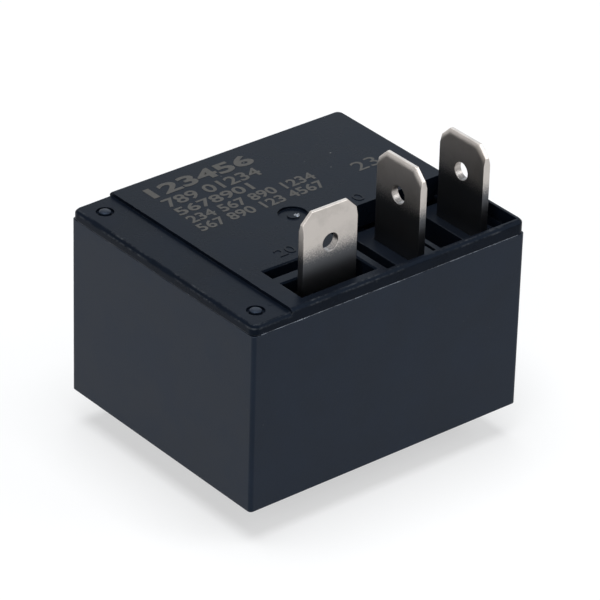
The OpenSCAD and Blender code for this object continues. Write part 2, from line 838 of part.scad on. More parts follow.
// Square flange with round corners, square to the coil axis
module flange(x) {
    on_coil() translate([x, 0, 0]) rotate([90, 0, 90])
        linear_extrude(flange_thick) round_rect(flange_width, flange_height, flange_radius);
}

// Boss that stands on the base plate under a flange and holds a coil pin
module pin_boss(x) {
    y = coil_pin_y - boss_width / 2;
    box([x, y, base_top], [x + boss_length, y + boss_width, boss_top]);
}

// Spool of the coil
module bobbin() {
    color("#3b3f46") on_board() difference() {
        union() {
            flange(bobbin_left);
            flange(winding_right);
            on_coil() rod_x(bobbin_left, bobbin_right, 2 * tube_out_r);
            pin_boss(bobbin_left);
            pin_boss(bobbin_right - boss_length);
        }
        on_coil() rod_x(bobbin_left - over, bobbin_right + over, 2 * tube_in_r);
        for (x = [start_pin_x, finish_pin_x])
            translate([x, coil_pin_y, 0]) post(coil_pin_hole, base_top - over, boss_top + over);
    }
}

// Ring along the coil axis between the flanges
module coil_ring(in_r, out_r) {
    on_coil() difference() {
        rod_x(winding_left + fit_gap, winding_right - fit_gap, 2 * out_r);
        rod_x(winding_left - over, winding_right + over, 2 * in_r);
    }
}

// Turns of wire on the bobbin
module winding() {
    color(copper_red) on_board() coil_ring(tube_out_r + wrap_gap, winding_r);
}

// Tape round the winding
module coil_tape() {
    color("#b58f3c") on_board() coil_ring(winding_r + wrap_gap, tape_r);
}

// Route of a lead: from the top of its pin, straight to the tape and on round it
lead_r = tape_r + lead_d / 2 + wrap_gap;
lead_pin_y = coil_pin_y - coil_y;
lead_pin_z = coil_pin_top + lead_d / 2 + wrap_gap - coil_z;
lead_tangent = atan2(lead_pin_z, lead_pin_y) + acos(lead_r / norm([lead_pin_y, lead_pin_z]));
lead_turn = 10;
lead_turns = 4;
function lead_point(x, angle) = [x, coil_y + lead_r * cos(angle), coil_z + lead_r * sin(angle)];
function lead_route(pin_x, way) = [
    [pin_x, coil_y + lead_pin_y, coil_z + lead_pin_z],
    for (i = [0 : lead_turns])
        lead_point(pin_x + way * lead_shift * (i + 1) / lead_turns, lead_tangent + i * lead_turn)
];
module lead(pin_x, way) {
    route = curve(lead_route(pin_x, way));
    polyhedron(
        points = [for (i = [0 : len(route) - 1]) each tube_ring(route, i, lead_d / 2)],
        faces = tube_faces(len(route))
    );
}

module start_lead() {
    color(copper_red) on_board() lead(start_pin_x, 1);
}

module finish_lead() {
    color(copper_red) on_board() lead(finish_pin_x, -1);
}

// Iron core with its pole head and the staked shank in the yoke
module core() {
    color(iron_grey) on_board() on_coil() {
        rod_x(yoke_out_x - stake_rise, yoke_out_x, stake_d + 2 * stake_rise);
        rod_x(yoke_out_x - stake_rise, bobbin_right, stake_d);
        rod_x(yoke_in_x, pole_x, core_d);
        rod_x(bobbin_right, pole_x, head_d);
    }
}

// Plan of the bent yoke: end plate at the left, long plate along the back
module yoke_plan() {
    bend_x = yoke_out_x + yoke_bend_out;
    bend_y = yoke_out_y - yoke_bend_out;
    translate([yoke_out_x, flange_front]) square([yoke_thick, bend_y - flange_front]);
    translate([bend_x, yoke_in_y]) square([pole_x - bend_x, yoke_thick]);
    translate([bend_x, bend_y]) difference() {
        intersection() {
            circle(r = yoke_bend_out);
            translate([-yoke_bend_out, 0]) square(yoke_bend_out);
        }
        circle(r = yoke_bend);
    }
}

// Bent iron frame
module yoke() {
    color(iron_grey) on_board() difference() {
        translate([0, 0, coil_z - yoke_height / 2]) linear_extrude(yoke_height) yoke_plan();
        on_coil() rod_x(yoke_out_x - over, yoke_in_x + over, stake_d + fit_gap);
        at_yoke_rivets() cylinder(d = rivet_hole_d, h = 4 * yoke_thick, center = true);
    }
}

// Rivets through the yoke and the leaf, with their heads along +Y
yoke_rivet_x = pole_x - leaf_length / 2;
module at_yoke_rivets() {
    for (side = [-1, 1])
        translate([yoke_rivet_x + side * rivet_pitch / 2, yoke_out_y, coil_z])
            rotate([-90, 0, 0]) children();
}

// Rivets through the armature and the leaf, with their heads along +X
module at_leaf_rivets() {
    for (side = [-1, 1])
        translate([arm_x, leaf_rivet_y, coil_z + side * rivet_pitch / 2]) rotate([0, 90, 0]) children();
}

// Rivets through the armature and the arm, with their heads along +X
module at_arm_rivets() {
    for (side = [-1, 1])
        translate([arm_x, arm_rivet_y, coil_z + side * rivet_pitch / 2]) rotate([0, 90, 0]) children();
}

// Rivet with its flush end below and its head above a sheet that lies on its carrier
module rivet(carrier, sheet) {
    translate([0, 0, -carrier]) cylinder(d = rivet_d, h = carrier + sheet + rivet_rise / 2);
    translate([0, 0, sheet])
        cylinder(d1 = rivet_head_d, d2 = rivet_head_d - rivet_rise, h = rivet_rise);
}

module yoke_rivets() {
    color(iron_grey) on_board() at_yoke_rivets() rivet(yoke_thick, leaf_thick);
}

module armature_rivets() {
    color(iron_grey) on_board() at_rest() at_leaf_rivets() rivet(armature_thick, leaf_thick);
}

module arm_rivets() {
    color(iron_grey) on_board() at_rest() at_arm_rivets() rivet(armature_thick, arm_thick);
}

// Iron plate that tips on the end of the yoke, with a bevelled hinge edge
module armature() {
    color(iron_grey) on_board() at_rest() difference() {
        translate([0, 0, coil_z - armature_height / 2]) linear_extrude(armature_height) polygon([
            [armature_x, armature_front],
            [arm_x, armature_front],
            [arm_x, hinge[1] - hinge_bevel],
            [arm_x - hinge_bevel, hinge[1]],
            [armature_x, hinge[1]]
        ]);
        at_leaf_rivets() cylinder(d = rivet_hole_d, h = 4 * armature_thick, center = true);
        at_arm_rivets() cylinder(d = rivet_hole_d, h = 4 * armature_thick, center = true);
    }
}

// Plan route of the leaf: along the yoke, round the hinge and down the armature at rest
leaf_y = yoke_out_y + leaf_thick / 2;
leaf_off = armature_thick + leaf_thick / 2;
leaf_bend = hinge_bevel + leaf_y - hinge[1] - fit_gap;
leaf_turn = [
    hinge[0] + (leaf_off - leaf_bend - (leaf_y - leaf_bend - hinge[1]) * sin(armature_travel))
        / cos(armature_travel),
    leaf_y - leaf_bend
];
leaf_end = to_rest([hinge[0] + leaf_off, hinge[1] - hinge_bevel - leaf_drop]);
leaf_bend_steps = 10;
leaf_route = concat(
    [[pole_x - leaf_length, leaf_y]],
    [for (i = [0 : leaf_bend_steps])
        let (angle = 90 - i * (90 - armature_travel) / leaf_bend_steps)
        leaf_turn + leaf_bend * [cos(angle), sin(angle)]],
    [leaf_end]
);

// Leaf spring that holds the armature on the yoke and returns it, bending on two legs
module hinge_spring() {
    window_low = [pole_x - leaf_window_reach, leaf_turn[1], coil_z - leaf_window / 2];
    window_high = [leaf_turn[0] + leaf_bend + over, leaf_y + over, coil_z + leaf_window / 2];
    color("#b8a24e") on_board() difference() {
        translate([0, 0, coil_z - leaf_width / 2])
            linear_extrude(leaf_width) polygon(strip(leaf_route, leaf_thick));
        at_yoke_rivets() cylinder(d = rivet_hole_d, h = 4 * leaf_thick, center = true);
        at_rest() at_leaf_rivets() cylinder(d = rivet_hole_d, h = 4 * leaf_thick, center = true);
        box(window_low, window_high);
    }
}

// Spring arm on the outer face of the armature, with a round nose past the contact
module contact_arm() {
    arm_front = pair_y - arm_nose;
    arm_back = arm_rivet_y + rivet_head_d / 2 + free_gap;
    color("#b88a58") on_board() at_rest() difference() {
        translate([arm_x, 0, coil_z]) rotate([90, 0, 90]) linear_extrude(arm_thick)
            translate([(arm_front + arm_back) / 2, 0])
                round_rect(arm_back - arm_front, arm_width, arm_radius);
        translate([arm_x, pair_y, coil_z]) rotate([0, 90, 0])
            cylinder(d = contact_shank_d + fit_gap, h = 4 * arm_thick, center = true);
        at_arm_rivets() cylinder(d = rivet_hole_d, h = 4 * arm_thick, center = true);
    }
}

// Flexible braid from the back of the common terminal, past the normally open terminal, to the arm
braid_z = coil_z - braid_drop;
braid_start = [com_x + blade_width / 4, com_limb_y + blade_thick / 2 + 2 * closed_gap, braid_z];
braid_end = to_rest([arm_x - closed_gap, braid_y]);
braid_bend = braid_y - braid_start[1];
braid_route = curve([
    braid_start,
    braid_start + [0, braid_bend / 2, 0],
    braid_start + [braid_bend / 2, braid_bend, -braid_sag / 4],
    [(braid_start[0] + braid_end[0]) / 2, braid_y, braid_z - braid_sag],
    [braid_end[0] - braid_lead, braid_y, braid_z - braid_sag / 4],
    [braid_end[0], braid_y, braid_z]
]);
module braid() {
    color(copper_red) on_board() polyhedron(
        points = [for (i = [0 : len(braid_route) - 1]) each tube_ring(braid_route, i, braid_d / 2)],
        faces = tube_faces(len(braid_route))
    );
}

case();
top_plate();
base_plate();
base_seal();
contact_block();
barrier();
com_terminal();
no_terminal();
nc_terminal();
no_contact();
nc_contact();
coil_pin_start();
coil_pin_finish();
bobbin();
winding();
coil_tape();
start_lead();
finish_lead();
core();
yoke();
hinge_spring();
yoke_rivets();
braid();
armature();
armature_rivets();
contact_arm();
arm_rivets();
moving_contact();
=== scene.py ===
"""Looks of a board-mounted power relay: moulded housing, blades, pins and the magnet system inside."""

import math

import bmesh
import bpy
from bpy.props import FloatProperty, FloatVectorProperty, IntProperty, PointerProperty
from mathutils import Matrix, Quaternion, Vector
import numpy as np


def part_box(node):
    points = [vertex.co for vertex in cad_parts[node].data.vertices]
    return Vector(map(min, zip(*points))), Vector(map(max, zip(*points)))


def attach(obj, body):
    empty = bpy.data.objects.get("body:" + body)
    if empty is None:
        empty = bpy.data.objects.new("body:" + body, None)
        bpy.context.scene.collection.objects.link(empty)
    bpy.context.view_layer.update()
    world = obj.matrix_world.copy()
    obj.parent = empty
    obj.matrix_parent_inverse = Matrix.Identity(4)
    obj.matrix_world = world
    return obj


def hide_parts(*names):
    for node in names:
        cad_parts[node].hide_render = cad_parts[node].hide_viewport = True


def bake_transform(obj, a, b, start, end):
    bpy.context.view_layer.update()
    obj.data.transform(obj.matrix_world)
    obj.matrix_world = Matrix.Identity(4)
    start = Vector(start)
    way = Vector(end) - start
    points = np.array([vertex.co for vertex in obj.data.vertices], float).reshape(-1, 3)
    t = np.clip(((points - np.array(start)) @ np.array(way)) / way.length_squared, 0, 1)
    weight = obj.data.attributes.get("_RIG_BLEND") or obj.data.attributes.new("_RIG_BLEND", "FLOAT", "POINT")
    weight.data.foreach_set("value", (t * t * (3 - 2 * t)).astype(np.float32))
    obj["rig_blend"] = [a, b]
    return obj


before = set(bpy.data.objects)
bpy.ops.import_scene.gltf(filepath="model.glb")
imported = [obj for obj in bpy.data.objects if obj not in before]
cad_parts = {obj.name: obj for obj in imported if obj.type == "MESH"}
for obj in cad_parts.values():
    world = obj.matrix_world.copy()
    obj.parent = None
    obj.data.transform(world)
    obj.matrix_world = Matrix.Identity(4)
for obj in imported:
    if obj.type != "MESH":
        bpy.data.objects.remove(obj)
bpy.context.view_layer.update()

bl_info = {
    "name": "Power relay",
    "version": (1, 0, 0),
    "blender": (4, 5, 0),
    "location": "3D View > Sidebar > Relay",
    "description": "Builds the visible pieces of a board-mounted power relay round its CAD frame",
    "category": "Add Mesh",
}

# Metres in a millimetre: shapes are worked out in millimetres.
MM = 0.001
# Points nearer than this are one point.
WELD = 0.001
# Faces that turn less than this are one flat area, and edges that turn more than SHARP are rounded.
FLAT = math.cos(math.radians(0.3))
SHARP = math.radians(32)
# Mesh attribute that marks the rounded edges for the finishes.
EDGE_MARK = "edge"
# Bodies that the pieces ride on.
STILL = "relay_body"
MOVING = "armature_group"


def mm_box(node):
    """Lowest and highest corner of a CAD node, in millimetres."""
    low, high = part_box(node)
    return low / MM, high / MM


CASE_LOW, CASE_HIGH = mm_box("case")
PLATE_HIGH = mm_box("top_plate")[1]
# Levels of the parting line, the low strip at the left and the nib in the vent.
PARTING_Z = CASE_LOW.z + 18.6
STRIP_Z = PLATE_HIGH.z - 0.42
VENT_NIB_Z = PLATE_HIGH.z - 0.14
# Tilt of the armature at rest.
REST_ANGLE = math.radians(2.9)

# Pale edge colour: wear, and in part a painted highlight on the rounded edges.
WORN_EDGE_AND_HIGHLIGHT = (0.05, 0.054, 0.06, 1)
DUST = (0.16, 0.16, 0.155, 1)
# Painted shade: colour of the darker reflection on the blades near the plate.
PAINTED_FOOT_SHADE = (0.09, 0.094, 0.102, 1)
# Pale flash colour: torn flash, and in part a painted highlight along the parting line.
PALE_FLASH_AND_HIGHLIGHT = (0.36, 0.40, 0.46, 1)


def length(name, description, default, least=0.02):
    """A length setting, in millimetres."""
    return FloatProperty(name=name, description=f"{description}, in millimetres", default=default, min=least)


def tone(name, description, default):
    """A colour setting."""
    return FloatVectorProperty(name=name, description=description, subtype="COLOR", size=4, default=default)


class RelayShapeSettings(bpy.types.PropertyGroup):
    """Sizes of the fine shapes that the CAD frame leaves plain."""

    case_edge: length("Case edge", "Rounding of the case edges", 0.12)
    rim_edge: length("Rim edge", "Rounding of the top plate's outer rim", 0.16)
    plate_edge: length("Plate edge", "Rounding of the top plate edges", 0.1)
    block_edge: length("Block edge", "Rounding of the contact block edges", 0.07)
    blade_edge: length("Blade edge", "Rounding of the stamped edges", 0.07)
    small_edge: length("Small edge", "Rounding of the small inner pieces", 0.05, 0.01)
    edge_steps: IntProperty(
        name="Edge steps", description="Faces across each rounded edge", default=3, min=1, max=6)
    ink_thick: length("Ink thickness", "Thickness of the printed numbers", 0.015, 0.005)
    wire_pitch: length("Wire pitch", "Distance between the turns of wire", 0.32, 0.1)
    strands: IntProperty(
        name="Strands", description="Strands of the braid in each direction", default=8, min=3, max=16)


class RelayFinishSettings(bpy.types.PropertyGroup):
    """Colours of the finishes."""

    plastic: tone("Plastic", "Black moulded plastic", (0.0045, 0.0072, 0.0132, 1))
    tin: tone("Tin", "Tin plating on the blades and pins", (0.505, 0.47, 0.44, 1))
    ink: tone("Ink", "Printed numbers on the top plate", (0.04, 0.038, 0.035, 1))
    copper: tone("Copper", "Wire, braid and contact arm", (0.62, 0.27, 0.12, 1))
    iron: tone("Iron", "Plated iron of the magnet system", (0.46, 0.46, 0.45, 1))


class RelayStageSettings(bpy.types.PropertyGroup):
    """Camera, floor and lamps."""

    camera_place: FloatVectorProperty(
        name="Camera place", description="Place of the camera", subtype="TRANSLATION", unit="LENGTH",
        default=(-0.22134, -0.26688, 0.21615))
    azimuth: FloatProperty(
        name="Azimuth", description="Turn of the camera round the relay", subtype="ANGLE",
        default=math.radians(-39.73))
    elevation: FloatProperty(
        name="Elevation", description="Height of the camera above the horizon", subtype="ANGLE",
        default=math.radians(30.24))
    roll: FloatProperty(
        name="Roll", description="Tilt of the camera about its view", subtype="ANGLE",
        default=math.radians(1.6))
    lens: FloatProperty(
        name="Lens", description="Focal length of the camera", unit="CAMERA", default=255.4)
    floor_shade: FloatProperty(
        name="Floor shade", description="Share of the shadow that the floor keeps", subtype="FACTOR",
        default=0.45, min=0, max=1)


def shapes():
    """Shape settings of the scene."""
    return bpy.context.scene.relay_shapes


def finishes():
    """Finish settings of the scene."""
    return bpy.context.scene.relay_finishes


# Node trees

VECTOR = "NodeSocketVector"
FLOAT = "NodeSocketFloat"


def add(tree, kind, settings=None, **inputs):
    """Adds a node, with its settings and its inputs by name, where a socket makes a link."""
    node = tree.nodes.new(kind)
    for key, value in (settings or {}).items():
        setattr(node, key, value)
    for key, value in inputs.items():
        join(tree, value, node.inputs[key.replace("_", " ")])
    return node


def join(tree, value, socket):
    """Links a socket to an input, or sets the input's own value."""
    if isinstance(value, bpy.types.NodeSocket):
        tree.links.new(value, socket)
    else:
        socket.default_value = value


def in_order(tree, kind, settings, *values):
    """First output of a node whose inputs are given in their order."""
    node = add(tree, kind, settings)
    for value, socket in zip(values, node.inputs):
        join(tree, value, socket)
    return node.outputs[0]


def math_node(tree, operation, *values):
    """Output of a Math node on one or two values."""
    return in_order(tree, "ShaderNodeMath", {"operation": operation}, *values)


def vector_node(tree, operation, *values):
    """Output of a Vector Math node on one or two vectors."""
    return in_order(tree, "ShaderNodeVectorMath", {"operation": operation}, *values)


def scaled(tree, vector, factor):
    """A vector times a number."""
    node = add(tree, "ShaderNodeVectorMath", {"operation": "SCALE"}, Vector=vector, Scale=factor)
    return node.outputs[0]


def mix_shader(tree, factor, first, second):
    """Two shaders mixed by a factor."""
    return in_order(tree, "ShaderNodeMixShader", None, factor, first, second)


def ramp(tree, value, low, high, to_low=0.0, to_high=1.0):
    """A value taken from one range to another, held at its ends."""
    node = add(tree, "ShaderNodeMapRange", {"interpolation_type": "SMOOTHSTEP"},
               Value=value, From_Min=low, From_Max=high, To_Min=to_low, To_Max=to_high)
    return node.outputs["Result"]


def mix_colour(tree, factor, first, second):
    """Two colours mixed by a factor, through the colour sockets of a Mix node."""
    node = add(tree, "ShaderNodeMix", {"data_type": "RGBA"}, Factor=factor)
    for value, socket in zip((first, second), node.inputs[6:8]):
        join(tree, value, socket)
    return node.outputs[2]


def noise(tree, vector, scale, detail=3.0, roughness=0.5):
    """Noise over a vector."""
    node = add(tree, "ShaderNodeTexNoise", Vector=vector, Scale=scale, Detail=detail, Roughness=roughness)
    return node.outputs["Fac"]


def shader_group(name, inputs, outputs):
    """An empty shader node group with named sockets, its inputs and its output node."""
    tree = bpy.data.node_groups.new(name, "ShaderNodeTree")
    for socket, kind in inputs:
        tree.interface.new_socket(socket, in_out="INPUT", socket_type=kind)
    for socket in outputs:
        tree.interface.new_socket(socket, in_out="OUTPUT", socket_type=FLOAT)
    source = tree.nodes.new("NodeGroupInput")
    target = tree.nodes.new("NodeGroupOutput")
    return tree, source.outputs, target.inputs


def once(name, maker):
    """The node group of that name, made on first use."""
    return bpy.data.node_groups.get(name) or maker(name)


def make_moulded_grain(name):
    """Fine eroded grain of a mould, with broad cloudy flow marks."""
    tree, source, target = shader_group(
        name, [("Vector", VECTOR), ("Grain", FLOAT)], ["Cloud", "Height"])
    cloud = noise(tree, source["Vector"], 220.0, 4.0, 0.6)
    fine = noise(tree, source["Vector"], source["Grain"], 2.0, 0.5)
    join(tree, ramp(tree, cloud, 0.3, 0.7), target["Cloud"])
    join(tree, math_node(tree, "ADD", fine, math_node(tree, "MULTIPLY", cloud, 0.35)), target["Height"])
    return tree


def make_edge_wear_and_highlight(name):
    """Broken pale line along the rounded edges, from the edge attribute of the mesh: wear, and in part a
    painted highlight.
    """
    tree, source, target = shader_group(
        name, [("Vector", VECTOR), ("Edge", FLOAT), ("Reach", FLOAT)], ["Mask"])
    patch = noise(tree, source["Vector"], 2400.0, 5.0, 0.7)
    low = math_node(tree, "SUBTRACT", 0.75, source["Reach"])
    handled = ramp(tree, noise(tree, source["Vector"], 260.0, 3.0), 0.38, 0.62)
    mask = math_node(tree, "MULTIPLY", ramp(tree, patch, low, 0.8), handled)
    join(tree, math_node(tree, "MULTIPLY", source["Edge"], mask), target["Mask"])
    return tree


def make_dust(name):
    """Sparse pale specks, thicker on faces that look up."""
    tree, source, target = shader_group(
        name, [("Vector", VECTOR), ("Up", FLOAT), ("Amount", FLOAT)], ["Mask"])
    cells = add(tree, "ShaderNodeTexVoronoi", Vector=source["Vector"], Scale=1400.0)
    speck = ramp(tree, cells.outputs["Distance"], 0.16, 0.05)
    group = ramp(tree, noise(tree, source["Vector"], 500.0, 3.0), 0.62, 0.72)
    lying = ramp(tree, source["Up"], 0.1, 0.8, 0.25, 1.0)
    mask = math_node(tree, "MULTIPLY", math_node(tree, "MULTIPLY", speck, group), lying)
    join(tree, math_node(tree, "MULTIPLY", mask, source["Amount"]), target["Mask"])
    return tree


def make_rolled_metal(name):
    """Fine lines of rolled strip, with soft cloudy tarnish."""
    tree, source, target = shader_group(
        name, [("Vector", VECTOR), ("Lines", VECTOR)], ["Tarnish", "Streak", "Height"])
    along = vector_node(tree, "MULTIPLY", source["Vector"], source["Lines"])
    streak = noise(tree, along, 1.0, 2.0, 0.5)
    cloud = noise(tree, source["Vector"], 420.0, 5.0, 0.65)
    pits = noise(tree, source["Vector"], 3800.0, 2.0)
    join(tree, ramp(tree, cloud, 0.42, 0.72), target["Tarnish"])
    join(tree, streak, target["Streak"])
    join(tree, math_node(tree, "ADD", streak, math_node(tree, "MULTIPLY", pits, 0.5)), target["Height"])
    return tree


def group_node(tree, name, maker, **inputs):
    """A shader group placed in a material with its own values."""
    node = tree.nodes.new("ShaderNodeGroup")
    node.node_tree = once(name, maker)
    for key, value in inputs.items():
        join(tree, value, node.inputs[key])
    return node.outputs


def new_material(name):
    """An empty node material with its Principled shader and Object coordinates."""
    material = bpy.data.materials.new(name)
    material.use_nodes = True
    tree = material.node_tree
    shader = tree.nodes["Principled BSDF"]
    coords = tree.nodes.new("ShaderNodeTexCoord").outputs["Object"]
    return material, tree, shader, coords


def edge_value(tree):
    """The mesh's own mark of its rounded edges."""
    node = tree.nodes.new("ShaderNodeAttribute")
    node.attribute_name = EDGE_MARK
    return node.outputs["Fac"]


def up_value(tree):
    """How far a face looks up."""
    node = tree.nodes.new("ShaderNodeNewGeometry")
    split = add(tree, "ShaderNodeSeparateXYZ", Vector=node.outputs["Normal"])
    return split.outputs["Z"]


def showing_rays(tree):
    """Whether a ray shows the white surround: a straight view, a reflection or a view through glass."""
    rays = tree.nodes.new("ShaderNodeLightPath").outputs
    mirrored = math_node(tree, "MAXIMUM", rays["Is Glossy Ray"], rays["Is Transmission Ray"])
    return math_node(tree, "MAXIMUM", rays["Is Camera Ray"], mirrored)


def lighter(colour, factor):
    """A colour made lighter or darker."""
    return (*[min(1.0, c * factor) for c in colour[:3]], 1.0)


def moulded_plastic(name, colour, rough, gloss, grain=5200.0, wear=0.38, depth=0.03, dust=0.5,
                    tint=(0.55, 0.72, 1.0, 1)):
    """Moulded plastic with fine grain, flow marks, worn edges that are in part a painted highlight, and a
    little dust.
    """
    if name in bpy.data.materials:
        return bpy.data.materials[name]
    material, tree, shader, coords = new_material(name)
    mould = group_node(tree, "Moulded grain", make_moulded_grain, Vector=coords, Grain=grain)
    wear_and_highlight_mask = group_node(tree, "Edge wear", make_edge_wear_and_highlight,
                           Vector=coords, Edge=edge_value(tree), Reach=wear)
    specks = group_node(tree, "Dust", make_dust, Vector=coords, Up=up_value(tree), Amount=dust)
    body = mix_colour(tree, mould["Cloud"], lighter(colour, 0.85), lighter(colour, 1.2))
    # Edges lightened: wear, and in part a painted highlight.
    worn = mix_colour(tree, wear_and_highlight_mask["Mask"], body, WORN_EDGE_AND_HIGHLIGHT)
    dusty = mix_colour(tree, specks["Mask"], worn, DUST)
    join(tree, dusty, shader.inputs["Base Color"])
    join(tree, ramp(tree, mould["Cloud"], 0, 1, rough - 0.03, rough + 0.03), shader.inputs["Roughness"])
    bump = add(tree, "ShaderNodeBump", Strength=0.25, Distance=depth * MM, Height=mould["Height"])
    join(tree, bump.outputs["Normal"], shader.inputs["Normal"])
    shader.inputs["Specular IOR Level"].default_value = gloss
    shader.inputs["Specular Tint"].default_value = tint
    return material


def painted_foot_shade_mask(tree, coords):
    """Mask of the patchy painted shade on the blades, a darker painted reflection that is thickest where they
    leave the plate.
    """
    full, gone, ragged_by = PLATE_HIGH.z + 2.0, PLATE_HIGH.z + 4.1, 0.35
    pins_end, blades_start = CASE_LOW.z + 2, CASE_LOW.z + 6
    height = add(tree, "ShaderNodeSeparateXYZ", Vector=coords).outputs["Z"]
    ragged = ramp(tree, noise(tree, coords, 6500.0, 2.0, 0.6), 0.25, 0.75, -ragged_by * MM, ragged_by * MM)
    edge = math_node(tree, "ADD", height, ragged)
    above = ramp(tree, edge, gone * MM, full * MM)
    clear_pins = ramp(tree, height, pins_end * MM, blades_start * MM)
    return math_node(tree, "MULTIPLY", above, clear_pins)


def rolled_metal(name, colour, rough, lines, tarnish=0.6, wear=0.45, depth=0.006, painted_shade=None):
    """Strip metal with rolling lines, cloudy tarnish, edges lightened by wear and in part by a painted
    highlight, and painted shade near the foot where it has one.
    """
    if name in bpy.data.materials:
        return bpy.data.materials[name]
    material, tree, shader, coords = new_material(name)
    strip = group_node(tree, "Rolled metal", make_rolled_metal, Vector=coords, Lines=lines)
    bright = group_node(tree, "Edge wear", make_edge_wear_and_highlight, Vector=coords, Edge=edge_value(tree), Reach=wear)
    dull = mix_colour(tree, strip["Tarnish"], colour, lighter(colour, tarnish))
    # Edges lightened: wear, and in part a painted highlight.
    edged = mix_colour(tree, bright["Mask"], dull, lighter(colour, 1.25))
    # Painted shade: the blades are darkened towards the plate, standing in for the dark reflection there.
    if painted_shade:
        edged = mix_colour(tree, painted_shade(tree, coords), edged, PAINTED_FOOT_SHADE)
    join(tree, edged, shader.inputs["Base Color"])
    spread = ramp(tree, strip["Streak"], 0.3, 0.7, rough - 0.012, rough + 0.012)
    worn = math_node(tree, "SUBTRACT", spread, math_node(tree, "MULTIPLY", bright["Mask"], 0.05))
    join(tree, worn, shader.inputs["Roughness"])
    bump = add(tree, "ShaderNodeBump", Strength=0.15, Distance=depth * MM, Height=strip["Height"])
    join(tree, bump.outputs["Normal"], shader.inputs["Normal"])
    shader.inputs["Metallic"].default_value = 1.0
    return material


def case_plastic():
    """Satin black plastic of the case."""
    return moulded_plastic("Housing plastic", finishes().plastic, 0.42, 0.2)


def plate_plastic():
    """Satin black plastic of the top plate."""
    return moulded_plastic("Plate plastic", lighter(finishes().plastic, 0.7), 0.29, 0.045,
                           wear=0.42, dust=0.7)


def block_plastic():
    """Black plastic of the contact block and the floor."""
    return moulded_plastic("Block plastic", lighter(finishes().plastic, 0.75), 0.45, 0.11, wear=0.36,
                           tint=(0.8, 0.88, 1.0, 1))


def bobbin_plastic():
    """Glass-filled plastic of the bobbin."""
    return moulded_plastic("Bobbin plastic", lighter(finishes().plastic, 2.2), 0.55, 0.3, grain=3000.0)


def potting_resin():
    """Dark glossy resin that seals the underside."""
    return moulded_plastic("Potting resin", lighter(finishes().plastic, 1.6), 0.22, 0.5, 700.0, 0.1, 0.05)


def barrier_sheet():
    """Dark fibre insulating sheet."""
    return moulded_plastic("Barrier sheet", (0.024, 0.023, 0.022, 1), 0.6, 0.2, 2400.0, 0.1)


def amber_tape():
    """Amber tape of thin plastic sheet."""
    return moulded_plastic("Amber tape", (0.075, 0.03, 0.008, 1), 0.25, 0.4, 900.0, 0.1)


def tinned_metal():
    """Tin plating on the blades and pins."""
    # The blades get painted shade towards the plate.
    return rolled_metal("Tinned metal", finishes().tin, 0.35, (2600, 2600, 1500), 0.85, depth=0.0025,
                        painted_shade=painted_foot_shade_mask)


def contact_silver():
    """Silver alloy of the contacts."""
    return rolled_metal("Contact silver", (0.74, 0.73, 0.70, 1), 0.3, (900, 900, 900), 0.8)


def magnet_iron():
    """Plated soft iron."""
    return rolled_metal("Magnet iron", finishes().iron, 0.38, (300, 1800, 1800), 0.8)


def rivet_steel():
    """Plated steel of the rivets."""
    return rolled_metal("Rivet steel", lighter(finishes().iron, 1.15), 0.33, (900, 900, 900), 0.85)


def spring_bronze():
    """Rolled bronze of the leaf spring."""
    return rolled_metal("Spring bronze", (0.55, 0.40, 0.16, 1), 0.3, (300, 300, 2400), 0.8)


def arm_copper():
    """Copper alloy of the contact arm."""
    return rolled_metal("Arm copper", lighter(finishes().copper, 0.95), 0.32, (2400, 300, 2400), 0.8)


def braid_copper():
    """Bare copper strands."""
    return rolled_metal("Braid copper", finishes().copper, 0.35, (1500, 1500, 1500), 0.7)


def copper_wire():
    """Enamelled copper wire."""
    return rolled_metal("Copper wire", lighter(finishes().copper, 0.9), 0.25, (1500, 300, 300), 0.75)


def print_ink():
    """Faded ink of the printed numbers."""
    if "Print ink" in bpy.data.materials:
        return bpy.data.materials["Print ink"]
    material, tree, shader, coords = new_material("Print ink")
    ink = finishes().ink
    mottle = ramp(tree, noise(tree, coords, 2600.0, 4.0, 0.7), 0.35, 0.65)
    join(tree, mix_colour(tree, mottle, lighter(ink, 0.55), lighter(ink, 1.15)), shader.inputs["Base Color"])
    join(tree, ramp(tree, mottle, 0, 1, 0.5, 0.62), shader.inputs["Roughness"])
    shader.inputs["Specular IOR Level"].default_value = 0.3
    return material


def mark_plastic():
    """Glossy dark plastic of the raised numbers."""
    return moulded_plastic("Mark plastic", lighter(finishes().plastic, 0.4), 0.3, 0.06, wear=0.1, dust=0.1)


def torn_plastic_with_glint():
    """Pale torn face of broken plastic, in part a painted glint."""
    return moulded_plastic("Torn plastic", (0.16, 0.165, 0.17, 1), 0.24, 0.6, 2600.0, 0.1, 0.08)


def flash_plastic(name, low, high):
    """Dark plastic with pale torn flash, in part a painted highlight, more of it the lower its limits."""
    material, tree, shader, coords = new_material(name)
    fine = ramp(tree, noise(tree, coords, 1300.0, 5.0, 0.75), low, high)
    broad = ramp(tree, noise(tree, coords, 140.0, 2.0), 0.35, 0.6, 0.35, 1.0)
    torn = math_node(tree, "MULTIPLY", fine, broad)
    dark = lighter(finishes().plastic, 1.2)
    join(tree, mix_colour(tree, torn, dark, PALE_FLASH_AND_HIGHLIGHT), shader.inputs["Base Color"])
    join(tree, ramp(tree, torn, 0, 1, 0.45, 0.3), shader.inputs["Roughness"])
    shader.inputs["Specular IOR Level"].default_value = 0.25
    return material


# Mesh making


def node_copy(node):
    """The merged shape of a CAD node in millimetres, with its flat faces joined."""
    bm = bmesh.new()
    bm.from_mesh(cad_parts[node].data)
    bmesh.ops.scale(bm, vec=(1 / MM,) * 3, verts=bm.verts)
    bmesh.ops.remove_doubles(bm, verts=bm.verts, dist=WELD)
    bmesh.ops.dissolve_limit(bm, angle_limit=math.radians(0.6), verts=bm.verts, edges=bm.edges)
    bmesh.ops.recalc_face_normals(bm, faces=bm.faces)
    return bm


